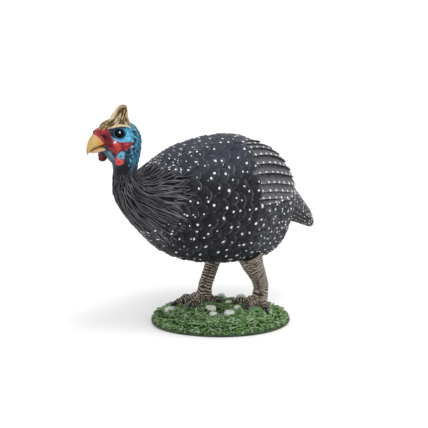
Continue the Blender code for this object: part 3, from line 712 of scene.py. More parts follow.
    # Painted highlight: a paler teal line along the raised fold of the jaw
    jaw_highlight = crease(points, (-33.4, 44.4), (-30.6, 42.6), 0.22) * step(75, 95, side)
    colour = blend(colour, jaw_highlight * (0.6 + 0.4 * fine), (0.10, 0.22, 0.26))
    fold = crease(points, (-31.9, 44.9), (-29.5, 42.0), 0.17) * step(110, 125, side) * step(0.0, 0.3, -band)
    colour = blend(colour, fold * (0.75 + 0.25 * fine), (0.15, 0.33, 0.41))
    runs = np.stack([0.13 * (angle % 360) + 1.0 * station, 1.35 * station, 0 * station], 1)
    dashes, strokes = grain(runs, 0.9, 5), grain(runs, 0.75, 9)
    nape = step(3.2, 4.4, station) * step(-0.4, 0.0, -depth_inside(points, RED_BAND)) * step(124, 112, side)
    colour = blend(colour, nape * step(0.0, -0.14, dashes) * 0.95, (0.002, 0.008, 0.020))
    colour = blend(colour, nape * step(-0.05, 0.15, strokes) * step(-0.1, 0.1, dashes) * 0.8, (0.20, 0.47, 0.60))
    neck = step(-0.4, 0.5, station + 0.4 * blotch - blue_end(side))
    return blend(colour, neck, [0.6 * x for x in c.charcoal])


def plumage_paint(name, fine):
    """Charcoal plastic with grey dry-brushed on the raised edges, and black wash and painted shade in the hollows."""
    c = colours()
    paint = Paint(name, 0.5, 0.12)
    rim, foot, tone = paint.attribute("rim"), paint.attribute("foot"), paint.attribute("tone")
    worn = paint.noise(0.9 * MM, 3.0)
    barbs = paint.node("ShaderNodeMath", {"operation": "SINE"}, [paint.attribute("barb") * fine])
    ground = paint.mix(tone, c.charcoal, c.slate)
    # Black wash and painted shade: each feather darkens towards its root, where the one above overlaps it
    ground = paint.mix((1 - rim.between(0.1, 0.7)) * (1 - tone * 0.35) * 0.9, ground, (0.003, 0.003, 0.004))
    ridges = barbs.between(0.3, 1.0) * worn.between(0.45, 0.70) * rim.between(0.35, 0.8) * (paint.attribute("tint") * 0.22 + 0.14)
    broken = paint.noise(1.6 * MM, 2.0).between(0.38, 0.62) * 0.8 + 0.2
    edge = rim.between(0.86, 0.98) * worn.between(0.30, 0.60) * broken * (paint.attribute("tint") * 0.36 + 0.22 + tone * 0.2)
    ground = paint.mix(ridges, ground, c.dry_grey)
    dusty = paint.attribute("tint").between(1.0, 1.7) * worn.between(0.25, 0.7)
    ground = paint.mix(dusty * 0.30, ground, c.dry_grey)
    ground = paint.mix(edge, ground, c.dry_grey)
    # Painted shade: the sunk walls under each feather are near black
    paint.colour(paint.mix(foot.between(0.06, 0.5), ground, (0.003, 0.003, 0.004)))
    paint.bump(barbs + worn * 0.6, 0.35, 0.03 * MM)
    return paint


class FIGURINE_OT_skin(bpy.types.Operator):
    """Model the bird's whole skin, from the beak's root to the rump, with the face's folds"""

    bl_idname = "figurine.skin"
    bl_label = "Skin"

    def execute(self, context):
        around = 220
        rows = np.concatenate([np.linspace(0, 8, 160), np.linspace(8.1, 20.9, 90)])
        station = np.repeat(rows, around)
        angle = np.tile(np.arange(around) * 360 / around, len(rows))
        side = np.abs((angle + 180) % 360 - 180)
        bare = BODY_FORM.surface(station, angle, 0.0)
        head = 1 - step(6.0, 8.2, station)
        raised = head * head_relief(bare, side) * step(-0.3, 0.9, station) - 0.3 * step(7.5, 9.0, station)
        points = BODY_FORM.surface(station, angle, raised)
        colour = head_paint(points, station, angle)
        skin = mesh_piece("skin", points, ring_faces(len(rows), around), {"paint": colour})
        smooth(face_outwards(skin), 60)
        paint = Paint("face_paint", 0.36, 0.14)
        tone = paint.attribute("paint", 0)
        worn = paint.noise(0.35 * MM, 3.0)
        paint.colour(paint.mix(worn.between(0.62, 0.35) * 0.35, tone, (0.004, 0.012, 0.02)))
        paint.bump(worn, 0.3, 0.04 * MM)
        settle(skin, paint, "face", "head", "neck", "torso", "wing_left", "wing_right")
        return {"FINISHED"}


class FIGURINE_OT_strands(bpy.types.Operator):
    """Lay the long strands that fan from the nape over neck and breast"""

    bl_idname = "figurine.strands"
    bl_label = "Neck strands"

    def execute(self, context):
        draw = random.Random(11)
        blade = Blade("strand", 6, 16, 0.6)
        width = sizes().strand_width / MM
        rows = []

        def gap(station):
            return 0.7 + 0.5 * float(step(5.5, 8.0, station)) + 1.6 * float(step(8.0, 10.5, station))

        def across(station):
            return width * (0.68 + 0.24 * float(step(7.0, 10.0, station)))

        for station, angle, stride in staggered(BODY_FORM, 4.0, 13.1, gap, across):
            side = abs(angle)
            end = float(strands_end(side))
            if station > end - 0.1:
                continue
            if station < 6.2 and not 30 < side < 75 + 25 * (station - 4.2):
                continue
            if side > 100 and station < 6.8:
                continue
            pace = BODY_FORM.paces(np.array([station]), np.array([angle]))[0][0]
            length = min(9.5, max(1.6, 2.6 * stride * pace)) * draw.uniform(0.8, 1.15)
            length = max(1.6, min(length, (end + draw.uniform(-0.3, 0.7) - station) * pace))
            blue = float(station + draw.uniform(-0.5, 0.5) < min(6.7, blue_end(side))) * draw.uniform(0.6, 1.0)
            rows.append(spot(
                station + draw.uniform(-0.4, 0.4) * stride, angle + draw.uniform(-1.5, 1.5), length,
                across(station) * draw.uniform(0.95, 1.35), draw.uniform(-4, 4), draw.uniform(-0.3, 0.3),
                0.06 + 0.24 * draw.random(), -0.16 + 0.16 * draw.random(), 0.24 / length, 0.50 * across(station), 0,
                draw.uniform(0.0, 1.0), blue))
        strands = lay("neck_strands", blade, BODY_FORM, as_spots(rows), 0.4)
        c = colours()
        paint = Paint("strand_paint", 0.5, 0.12)
        ridge = 1 - paint.node("ShaderNodeMath", {"operation": "ABSOLUTE"}, [paint.attribute("side")])
        worn = paint.noise(2.6 * MM, 2.0)
        tone = paint.attribute("tone")
        ground = paint.mix(ridge.between(0.05, 0.6), (0.002, 0.002, 0.003), c.charcoal)
        crest = ridge.between(0.50, 1.0) * (worn.between(0.35, 0.65) * 0.5 + 0.5) * (tone * 0.8 + 0.3)
        ground = paint.mix(crest, ground, c.dry_grey)
        blue = paint.mix(ridge.between(0.15, 0.8), (0.004, 0.012, 0.022), [0.75 * x for x in c.face_blue])
        blue = paint.mix(crest * 0.45, blue, c.bright_blue)
        paint.colour(paint.mix(paint.attribute("tint"), ground, blue))
        settle(smooth(strands, 50), paint, "plumage")
        return {"FINISHED"}


def feather_spots():
    """The body's scallops, small at the shoulder and rump and large on the flank."""
    draw = random.Random(5)
    wide, gap = sizes().feather_width / MM, sizes().feather_gap / MM

    def share(station):
        return 0.50 + 0.50 * float(step(11.8, 14.0, station)) - 0.42 * float(step(15.4, 17.2, station))

    rows = []
    for station, angle, stride in staggered(
        BODY_FORM, 10.6, 20.3, lambda s: gap * share(s), lambda s: wide * share(s)
    ):
        side = abs(angle)
        pace = BODY_FORM.paces(np.array([station]), np.array([angle]))[0][0]
        size = share(station)
        length = max(1.1, 1.9 * gap * size) * draw.uniform(0.92, 1.08)
        tip = station + length / pace
        if station < float(strands_end(side)) + draw.uniform(-0.65, 0.05) - 0.4 * float(step(110, 150, side)):
            continue
        low = 84 - 24 * float(step(17.0, 18.7, tip))
        if PANEL_TOP < side < low and PANEL_START + draw.uniform(0.1, 0.3) < tip < PANEL_END:
            continue
        back = 1 - float(step(42, 66, side))
        flat = 1 - 0.45 * back - 0.45 * float(step(100, 140, side))
        rows.append(spot(
            station + draw.uniform(-0.10, 0.10) * stride, angle + draw.uniform(-1.5, 1.5), length,
            1.16 * wide * size * draw.uniform(0.90, 1.10), draw.uniform(-9, 9), draw.uniform(-0.2, 0.2), 0,
            -0.16, (0.16 + sizes().feather_rise / MM * flat * (0.6 + 0.4 * size)) / length, 0.16 * size, 0,
            min(1, 0.05 + 0.9 * back + draw.uniform(-0.05, 0.15) + 0.5 * float(step(15.6, 16.8, station))),
            (flat - 0.25) * draw.uniform(0.6, 1.5) + float(step(15.4, 16.6, station)) + 1.5 * float(step(13.0, 11.6, station))))
    return as_spots(rows)


class FIGURINE_OT_feathers(bpy.types.Operator):
    """Cover back, flank, belly and rump with overlapping scalloped feathers"""

    bl_idname = "figurine.feathers"
    bl_label = "Body feathers"

    def execute(self, context):
        blade = Blade("feather", 10, 10, 0.45)
        spots = feather_spots()
        feathers = lay("body_feathers", blade, BODY_FORM, spots)
        settle(smooth(feathers, 40), plumage_paint("feather_paint", 14.0), "plumage")
        return {"FINISHED"}


# Flight vanes from the back down: where the lower edge starts and ends, its tip's station, and its curve
VANES = [
    (19, 15, 17.2, 0.0), (25, 19, 17.8, 0.0), (31, 23, 18.2, 0.0), (40, 29, 18.6, 0.0), (49, 39, 18.9, 0.0),
    (58, 50, 18.9, 0.0), (67, 61, 18.7, 0.0), (74, 70, 18.2, 0.0), (80, 77, 17.8, 0.0), (86, 85, 18.5, -4.4),
]


def vane_spots():
    """The flight panel's vanes on both sides: each one's lower edge stands proud of the next."""
    draw = random.Random(9)
    rows = []
    for sign in (1, -1):
        for k, (start, end, tip, bend) in enumerate(VANES):
            along, around = (p[0] for p in BODY_FORM.paces(np.array([PANEL_START]), np.array([sign * float(start)])))
            width = 2.9 if k > 2 else 2.0
            width = 1.5 if bend else width
            root = PANEL_START - 0.6
            drift = (end - start) / (tip - PANEL_START)
            angle = start - width / 2 / around + drift * (root - PANEL_START)
            ahead, aside = (tip - root) * along, drift * (tip - root) * around
            length = math.hypot(ahead, aside)
            rows.append(spot(
                root, sign * angle, length, width, sign * math.degrees(math.atan2(aside, ahead)), sign * bend, 0,
                -0.14 + 0.012 * k, 0.5 / length, 0.0, sign * 0.26, draw.uniform(0.25, 0.45)))
    return as_spots(rows)


class FIGURINE_OT_vanes(bpy.types.Operator):
    """Lay the flight feathers of both wings as tiers of long ribbed vanes"""

    bl_idname = "figurine.vanes"
    bl_label = "Flight vanes"

    def execute(self, context):
        blade = Blade("vane", 12, 26, 0.88)
        vanes = lay("flight_vanes", blade, BODY_FORM, vane_spots(), 0.3)
        settle(smooth(vanes, 40), vane_paint("vane_paint"), "plumage")
        return {"FINISHED"}


def vane_paint(name):
    """Smooth ribbed grey, with painted shade where it lies under each neighbour, and pale along the raised lower edge.
    """
    c = colours()
    paint = Paint(name, 0.5, 0.12)
    side, foot, rim = paint.attribute("side"), paint.attribute("foot"), paint.attribute("rim")
    worn = paint.noise(0.6 * MM, 3.0)
    barbs = paint.node("ShaderNodeMath", {"operation": "SINE"}, [paint.attribute("barb") * 20.0])
    # Painted shade: dark on the part under the vane above, lighter towards its own lower edge
    lit = side.between(-0.35, 0.6) * 0.65 + worn.between(0.35, 0.7) * 0.35
    ground = paint.mix(lit + barbs * 0.10, (0.014, 0.014, 0.016), (0.115, 0.116, 0.128))
    pale = side.between(0.78, 0.93) * worn.between(0.25, 0.55)
    pale = paint.node("ShaderNodeMath", {"operation": "MAXIMUM"}, [pale, rim.between(0.95, 1.0)])
    ground = paint.mix(pale * 0.85, ground, [1.3 * x for x in c.dry_grey])
    # Painted shade: the sunk walls under each vane are near black
    paint.colour(paint.mix(foot.between(0.05, 0.5), ground, (0.003, 0.003, 0.004)))
    paint.bump(barbs, 0.4, 0.03 * MM)
    return paint


def tail_spots():
    """The tail's ridged vanes, fanned over its top and sides."""
    draw = random.Random(13)
    rows = []
    for tier in range(2):
        for k in range(-5, 6):
            angle = k * 19.0 + (9.5 if tier else 0)
            if abs(angle) > 100:
                continue
            start = 0.35 + 0.3 * tier
            along = TAIL_FORM.paces(np.array([start]), np.array([angle]))[0][0]
            length = (3.86 - 0.4 * tier - 0.07 * abs(k) - start) * along * draw.uniform(0.95, 1.0)
            rows.append(spot(start, angle, length, 2.0, 0, draw.uniform(-0.15, 0.15), 0, 0.05 + 0.14 * tier,
                             0.35 / length, 0.42, 0, draw.uniform(0.2, 0.6)))
    for k in range(-4, 5):
        angle = 180 + k * 17.0
        along = TAIL_FORM.paces(np.array([0.8]), np.array([float(angle)]))[0][0]
        rows.append(spot(0.8, angle, 3.15 * along, 1.6, 0, 0, 0, 0.0, 0.03, 0.26, 0, draw.uniform(0.1, 0.4)))
    return as_spots(rows)


class FIGURINE_OT_tail(bpy.types.Operator):
    """Model the drooping tail as a core under two tiers of narrow vanes"""

    bl_idname = "figurine.tail"
    bl_label = "Tail"

    def execute(self, context):
        around = 64
        rows = np.linspace(0, 4, 40)
        station = np.repeat(rows, around)
        angle = np.tile(np.arange(around) * 360 / around, len(rows))
        raised = 0.35 * step(2.6, 3.6, station) - 0.9 * step(3.7, 4.0, station) ** 2 - 0.1
        dusty = {"rim": np.full(len(station), 0.8), "tone": np.full(len(station), 0.6),
                 "tint": 1 + 0.7 * step(3.2, 3.8, station)}
        core = mesh_piece("tail_core", TAIL_FORM.surface(station, angle, raised), ring_faces(len(rows), around), dusty)
        paint = plumage_paint("tail_paint", 14.0)
        settle(smooth(face_outwards(core), 60), paint, "plumage", "tail")
        vanes = lay("tail_vanes", Blade("tail_vane", 6, 16, 0.7), TAIL_FORM, tail_spots(), 0.3, 4.0)
        settle(smooth(vanes, 40), vane_paint("tail_vane_paint"), "plumage")
        return {"FINISHED"}


def dot_blade():
    """A painted spot's shape: a low round dome."""
    deselect()
    bpy.ops.mesh.primitive_uv_sphere_add(segments=10, ring_count=6, radius=1)
    dot = bpy.context.object
    edit(dot)
    bpy.ops.mesh.select_all(action="SELECT")
    bpy.ops.transform.resize(value=(1, 1, 0.35), center_override=(0, 0, 0))
    bpy.ops.object.mode_set(mode="OBJECT")
    return dot


def lay_dots(name, dot, form, station, angle, height, radius, draw, spread=21.0):
    """Round spots of paint at places on a form, each a little uneven."""
    base = np.array([vert.co for vert in dot.data.vertices])
    each, points, patches, faces = len(base), [], [], []
    along, around = form.paces(station, angle)
    for k in range(len(station)):
        turn = draw.uniform(0, math.pi)
        stretch = draw.uniform(0.75, 1.35)
        x, y = base[:, 0] * stretch, base[:, 1] / stretch
        x, y = x * math.cos(turn) - y * math.sin(turn), x * math.sin(turn) + y * math.cos(turn)
        r = radius[k]
        ss, aa = station[k] + y * r / along[k], angle[k] + x * r / around[k]
        points.append(form.surface(ss, aa, height[k] + base[:, 2] * r))
        u = 0.01 + 0.97 * station[k] / spread + 0.003 * (base[:, 0] + 1) / 2
        v = 0.01 + 0.97 * (angle[k] % 360) / 360 + 0.003 * (base[:, 1] + 1) / 2
        patches.append(np.stack([u, v], 1))
        faces += [tuple(k * each + corner for corner in face.vertices) for face in dot.data.polygons]
    return mesh_piece(name, np.vstack(points), faces, None, np.vstack(patches))


class FIGURINE_OT_dots(bpy.types.Operator):
    """Paint the white spots: one near each feather's tip, and rows of them along the vanes"""

    bl_idname = "figurine.dots"
    bl_label = "White spots"

    def execute(self, context):
        draw = random.Random(3)
        dot = dot_blade()
        paint = Paint("spot_paint", 0.5)
        worn = paint.noise(0.3 * MM, 2.0)
        white = colours().spot_white
        paint.colour(paint.mix(worn.between(0.35, 0.6), [0.55 * x for x in white], white))
        radius = sizes().spot_radius / MM
        spots = feather_spots()
        station, angle, height, size = [], [], [], []
        for second in (False, True):
            x = np.array([draw.uniform(-0.34, 0.34) + 0.5 * second for _ in spots])
            y = np.array([draw.uniform(0.62, 0.88) for _ in spots])
            s, a, h = where_on(spots, BODY_FORM, x, y)
            for k in range(len(spots)):
                small = 1 - float(step(12.6, 14.4, spots.station[k]))
                behind = float(step(15.6, 17.0, spots.station[k]))
                if second and draw.random() > 0.75 * small + 0.12 * behind or draw.random() < 0.07:
                    continue
                station.append(s[k])
                angle.append(a[k])
                height.append(h[k] + 0.02)
                size.append(radius * draw.uniform(0.65, 1.25) * (1 - 0.34 * small - 0.25 * behind))
        for k in range(len(spots)):
            high = float(step(14.6, 13.4, spots.station[k])) * float(step(62, 40, abs(spots.angle[k])))
            for _ in range(3):
                if draw.random() > high * 0.3:
                    continue
                s, a, h = where_on(spots[k : k + 1], BODY_FORM, np.array([draw.uniform(-0.6, 0.6)]),
                                   np.array([draw.uniform(0.6, 0.9)]))
                station.append(s[0])
                angle.append(a[0])
                height.append(h[0] + 0.02)
                size.append(radius * draw.uniform(0.35, 0.6))
        arrays = [np.array(values) for values in (station, angle, height, size)]
        body = lay_dots("body_spots", dot, BODY_FORM, *arrays, draw)
        settle(smooth(body, 60), paint, "plumage")

        spots = vane_spots()
        station, angle, height, size = [], [], [], []
        for k in range(len(spots)):
            one = spots[k : k + 1]
            lower = 1 if one.angle[0] > 0 else -1
            start, pitch = 3.9 + draw.uniform(-0.3, 0.3), 1.85
            while start < one.length[0] - 0.3:
                s, a, h = where_on(one, BODY_FORM, np.array([0.84 * lower]), np.array([start / one.length[0]]))
                station.append(s[0])
                angle.append(a[0])
                height.append(h[0] + 0.02)
                size.append(radius * draw.uniform(0.75, 1.0))
                start += pitch * draw.uniform(0.85, 1.15)
        arrays = [np.array(values) for values in (station, angle, height, size)]
        panel = lay_dots("panel_spots", dot, BODY_FORM, *arrays, draw)
        settle(smooth(panel, 60), paint, "plumage")

        spots = tail_spots()
        station, angle, height, size = [], [], [], []
        for y in (0.25, 0.36, 0.47, 0.58, 0.69, 0.80, 0.92):
            s, a, h = where_on(spots, TAIL_FORM, np.zeros(len(spots)), np.full(len(spots), y))
            for k in range(len(spots)):
                if draw.random() < 0.8:
                    station.append(s[k] + draw.uniform(-0.1, 0.1))
                    angle.append(a[k])
                    height.append(h[k] + 0.02)
                    size.append(0.18 * draw.uniform(0.7, 1.3))
        arrays = [np.array(values) for values in (station, angle, height, size)]
        tail = lay_dots("tail_spots", dot, TAIL_FORM, *arrays, draw, 4.0)
        settle(smooth(tail, 60), paint, "plumage")
        bpy.data.objects.remove(dot, do_unlink=True)
        return {"FINISHED"}


class FIGURINE_OT_casque(bpy.types.Operator):
    """Model the wrinkled helmet with its smooth front ridge and cream rim"""

    bl_idname = "figurine.casque"
    bl_label = "Helmet"

    def execute(self, context):
        around, rows = 168, 84
        table = through(CASQUE, np.linspace(0, len(CASQUE) - 1, rows))
        points, groove, cream = [], [], []
        for height, middle, half_length, half_width in table:
            low = float(step(51.6, 50.4, height))
            for k in range(around):
                turn = 2 * math.pi * k / around
                front, side = math.cos(turn), math.sin(turn)
                blunt = math.copysign(abs(side) ** (1 - 0.2 * low), side)
                fan = Vector((9.5 * side, 9.5 * front, 0.85 * height + 1.2 * front))
                folds = noise.noise(fan) + 0.6 * noise.noise(fan * 1.8 + Vector((5, 0, 0)))
                pits = noise.noise(Vector((side * half_width, front * half_length, height)) / 0.36)
                narrow = 1 - 0.42 * float(step(51.9, 51.0, height)) * max(0, front) ** 3
                dent = float(step(0.20, -0.02, folds)) * float(step(0.99, 0.94 + 0.04 * low, front))
                dent = max(dent, float(step(0.06, -0.14, pits)) * low * float(step(0.4, 0.7, front)))
                upper = float(step(50.35, 50.8, height)) * float(step(54.3, 53.9, height))
                rim = math.exp(-(((height - 50.05) / 0.32) ** 2)) * float(step(0.85, 0.45, front))
                dent *= 1 - 0.9 * rim
                depth = 0.26 * dent * (0.3 + 0.7 * upper) - 0.14 * rim
                y = middle - (half_length - depth) * front
                arch = 0.36 - (0.058 if y < -29.3 else 0.11) * (y + 29.3) ** 2
                points.append(((half_width - depth) * blunt * narrow, y, height + low * arch))
                groove.append(dent * (0.8 + 0.2 * upper))
                ridge = float(step(0.90, 0.97, front)) * float(step(51.0, 52.0, height))
                crest = float(step(0.10, 0.20, folds)) * float(step(0.50, 0.34, folds)) * upper
                cream.append(max(rim, ridge, 0.6 * crest))
        helmet = mesh_piece("casque_horn", points, ring_faces(rows, around), {"groove": groove, "cream": cream})
        c = colours()
        paint = Paint("casque_paint", 0.5, 0.12)
        worn = paint.noise(0.5 * MM, 3.0)
        ground = paint.mix(worn.between(0.35, 0.65), [0.7 * x for x in c.tan], c.tan)
        ground = paint.mix(paint.attribute("cream") * 0.85, ground, (0.62, 0.53, 0.38))
        paint.colour(paint.mix(paint.attribute("groove").between(0.15, 0.75) * 0.97, ground, c.brown))
        paint.bump(worn, 0.3, 0.04 * MM)
        settle(smooth(face_outwards(helmet), 70), paint, "casque", "casque")
        return {"FINISHED"}


class FIGURINE_OT_beak(bpy.types.Operator):
    """Model the two halves of the beak, parted by a dark slit"""

    bl_idname = "figurine.beak"
    bl_label = "Beak"

    def execute(self, context):
        c = colours()
        paint = Paint("beak_paint", 0.4, 0.3)
        worn = paint.noise(0.6 * MM, 2.0)
        ground = paint.mix(worn.between(0.3, 0.7), [0.8 * x for x in c.ochre], c.ochre)
        ground = paint.mix(paint.attribute("warm") * 0.8, ground, (0.52, 0.25, 0.045))
        ground = paint.mix(paint.attribute("tip") * 0.75, ground, (0.20, 0.10, 0.03))
        ground = paint.mix(paint.attribute("pale") * 0.6, ground, (0.55, 0.42, 0.36))
        ground = paint.mix(paint.attribute("slit"), ground, (0.03, 0.012, 0.006))
        paint.colour(paint.mix(paint.attribute("root"), ground, [0.85 * x for x in c.red]))
        paint.bump(worn, 0.2, 0.04 * MM)
        closed = [(y - 0.15, z + 0.28, ventral_y, ventral_z + 0.1, half) for y, z, ventral_y, ventral_z, half in LOWER_BEAK]
        for name, rows in (("beak_upper", UPPER_BEAK), ("beak_lower", closed)):
            form = Form(rows)
            around, count = 56, 40
            along = np.linspace(0, len(rows) - 1, count)
            station = np.repeat(along, around)
            angle = np.tile(np.arange(around) * 360 / around, count)
            points = form.points(station, angle)
            side = np.abs((angle + 180) % 360 - 180)
            upper = name == "beak_upper"
            share = station / (len(rows) - 1)
            root = -depth_inside(points, [(-38, 60), (-34.7, 50), (-34.4, 48.7), (-33.7, 47.3), (-32.2, 46.5), (-30, 46.3),
                                           (-30, 40), (-38, 40)]) if upper else np.full(len(side), -1.0)
            points[:, 0] += np.sign(points[:, 0]) * 0.18 * step(-0.05, 0.3, root)
            attributes = {
                "root": step(-0.06, 0.08, root + 0.08 * grain(points, 0.5, 2)),
                "warm": step(0.55, 0.15, share) * step(35, 90, side),
                "tip": step(0.70, 1.0, share) * 0.9,
                "slit": step(158, 172, side) if upper else 1 - step(10, 24, side),
                "pale": np.zeros(len(side)) if upper else step(40, 120, side),
            }
            half = mesh_piece(name + "_horn", points, ring_faces(count, around), attributes)
            settle(smooth(face_outwards(half), 60), paint, "beak", name)
        return {"FINISHED"}


class FIGURINE_OT_eyes(bpy.types.Operator):
    """Set the glossy black eyes in their lids"""

    bl_idname = "figurine.eyes"
    bl_label = "Eyes"

    def execute(self, context):
        paint = Paint("eye_paint", 0.08, 0.08)
        spread = paint.noise(0.4 * MM)
        black = paint.mix(spread.between(0.4, 0.7), (0.002, 0.002, 0.003), (0.004, 0.005, 0.009))
        # Painted highlight: a pale spot on each eye's upper front stands in for a lamp's reflection
        paint.colour(paint.mix(paint.attribute("light"), black, (0.75, 0.78, 0.80)))
        for side in SIDES:
            sign = 1 if side == "left" else -1
            surface_x = 2.8
            centre = (sign * (surface_x - EYE_DEPTH) * MM, EYE[0] * MM, EYE[1] * MM)
            deselect()
            bpy.ops.mesh.primitive_uv_sphere_add(
                segments=48, ring_count=24, radius=EYE_RADIUS * MM, location=centre, rotation=(0, math.pi / 2, 0))
            eye = bpy.context.object
            eye.name = "eyeball_" + side
            # Painted highlight: where the pale catch-light spot lies on the ball
            light = []
            for vert in eye.data.vertices:
                across, upward = vert.co.y / (EYE_RADIUS * MM), -vert.co.x / (EYE_RADIUS * MM)
                light.append(float(step(0.24, 0.13, math.hypot(across + 0.05, upward - 0.36))))
            eye.data.attributes.new("light", "FLOAT", "POINT").data.foreach_set("value", light)
            settle(smooth(eye, 60), paint, "eye", "eye_" + side)
        return {"FINISHED"}


class FIGURINE_OT_wattles(bpy.types.Operator):
    """Model the two folded wattles at the corners of the mouth"""

    bl_idname = "figurine.wattles"
    bl_label = "Wattles"

    def execute(self, context):
        c = colours()
        paint = Paint("wattle_paint", 0.35, 0.16)
        worn = paint.noise(0.5 * MM, 3.0)
        blue = paint.mix(worn.between(0.35, 0.62), (0.02, 0.09, 0.14), (0.13, 0.38, 0.52))
        red = paint.mix(worn.between(0.3, 0.6) * 0.7, c.red, (0.70, 0.09, 0.09))
        outside = paint.mix(paint.attribute("red"), blue, red)
        # Painted shade: the wattles' inner faces, towards the neck, are darkened to maroon
        paint.colour(paint.mix(paint.attribute("inner") * 0.85, outside, (0.05, 0.010, 0.014)))
        paint.bump(worn, 0.3, 0.04 * MM)
        for side in SIDES:
            sign = 1 if side == "left" else -1
            centre = Vector(WATTLE_CENTRES[side]) + Vector((0, 0 if side == "left" else 0.2, 0))
            lean = 0.25 if side == "left" else -0.15
            thick, wide, high = WATTLE_SIZE
            deselect()
            bpy.ops.mesh.primitive_uv_sphere_add(segments=48, ring_count=32, radius=1)
            lobe = bpy.context.object
            lobe.name = "wattle_lobe_" + side
            red, inner = [], []
            for vert in lobe.data.vertices:
                x, y, z = vert.co
                dish = 0.45 * (1 - min(1, y * y + z * z)) * (1 if x > 0 else -0.4)
                curl = 0.5 * max(0, -z - 0.3)
                lip = math.exp(-(((z + 0.42) / 0.16) ** 2))
                vert.co = (
                    centre.x + sign * (thick * x * (1 - 0.3 * lip) - dish * 0.4 + curl * 0.5),
                    centre.y + wide * y * (1 + (0.2 if y > 0 else 0.55) * max(0, -z) - 0.12 * lip) + lean * z,
                    centre.z + high * z + 0.2 * y * y,
                )
                vert.co *= MM
                red.append(float(step(0.14, 0.34, -z + 0.45 * y * y - 0.08 * y)))
                # Painted shade on the face that turns towards the neck
                inner.append(float(step(-0.35, 0.15, -x)))
            lobe.data.attributes.new("red", "FLOAT", "POINT").data.foreach_set("value", red)
            lobe.data.attributes.new("inner", "FLOAT", "POINT").data.foreach_set("value", inner)
            settle(smooth(face_outwards(lobe), 60), paint, "wattle", "wattle_" + side)
        return {"FINISHED"}


def base_share(x, y):
    """How far out a place lies on the oval base: 0 in the middle and 1 at its edge."""
    turn = math.radians(-BASE_TURN)
    dx, dy = x - BASE_CENTRE[0], y - BASE_CENTRE[1]
    u = (dx * math.cos(turn) - dy * math.sin(turn)) / BASE_HALF_LENGTH
    v = (dx * math.sin(turn) + dy * math.cos(turn)) / BASE_HALF_WIDTH
    return np.hypot(u, v)


def base_height(x, y):
    shares, heights = zip(*BASE_PROFILE[:6])  # down to the edge
    return np.interp(base_share(x, y), shares, heights)


def tube(path, around, pitch, depth, draw, crumple=0.05, dark=0.0):
    """Rings of a scaled limb along (x, y, z, radius) points: its points and how deep in a groove each is,
    with the wash that darkens it towards its end."""
    path = np.asarray(path, float)
    middle, radius = path[:, :3], path[:, 3]
    ahead = np.gradient(middle, axis=0)
    ahead /= np.linalg.norm(ahead, axis=1)[:, None]
    across = np.cross(ahead, (0.3, -1.0, 0.12))
    across /= np.linalg.norm(across, axis=1)[:, None]
    front = np.cross(across, ahead)
    travelled = np.concatenate([[0], np.cumsum(np.linalg.norm(np.diff(middle, axis=0), axis=1))])
    points, groove = [], []
    for centre, r, a, f, t in zip(middle, radius, across, front, travelled):
        for k in range(around):
            turn = 2 * math.pi * k / around
            out = math.cos(turn) * a + math.sin(turn) * f
            wave = t / pitch + 0.9 * noise.noise(Vector(centre + out * r) / 1.5) + 0.12 * math.sin(turn)
            ridge = abs(math.sin(math.pi * wave)) ** 0.75
            cross = abs(math.sin(turn * 1.5 + 2.2 * noise.noise(Vector((t / 1.2, draw, 0))))) ** 0.3
            level = min(ridge, 0.35 + 0.65 * cross)
            rough = crumple * noise.noise(Vector(centre + out * r) / 0.35)
            points.append(centre + out * (r + depth * (level - 0.7) + rough))
            groove.append(1 - level)
    groove = np.array(groove) + dark * step(0.3, 1.0, np.repeat(travelled / travelled[-1], around))
    return np.array(points), groove


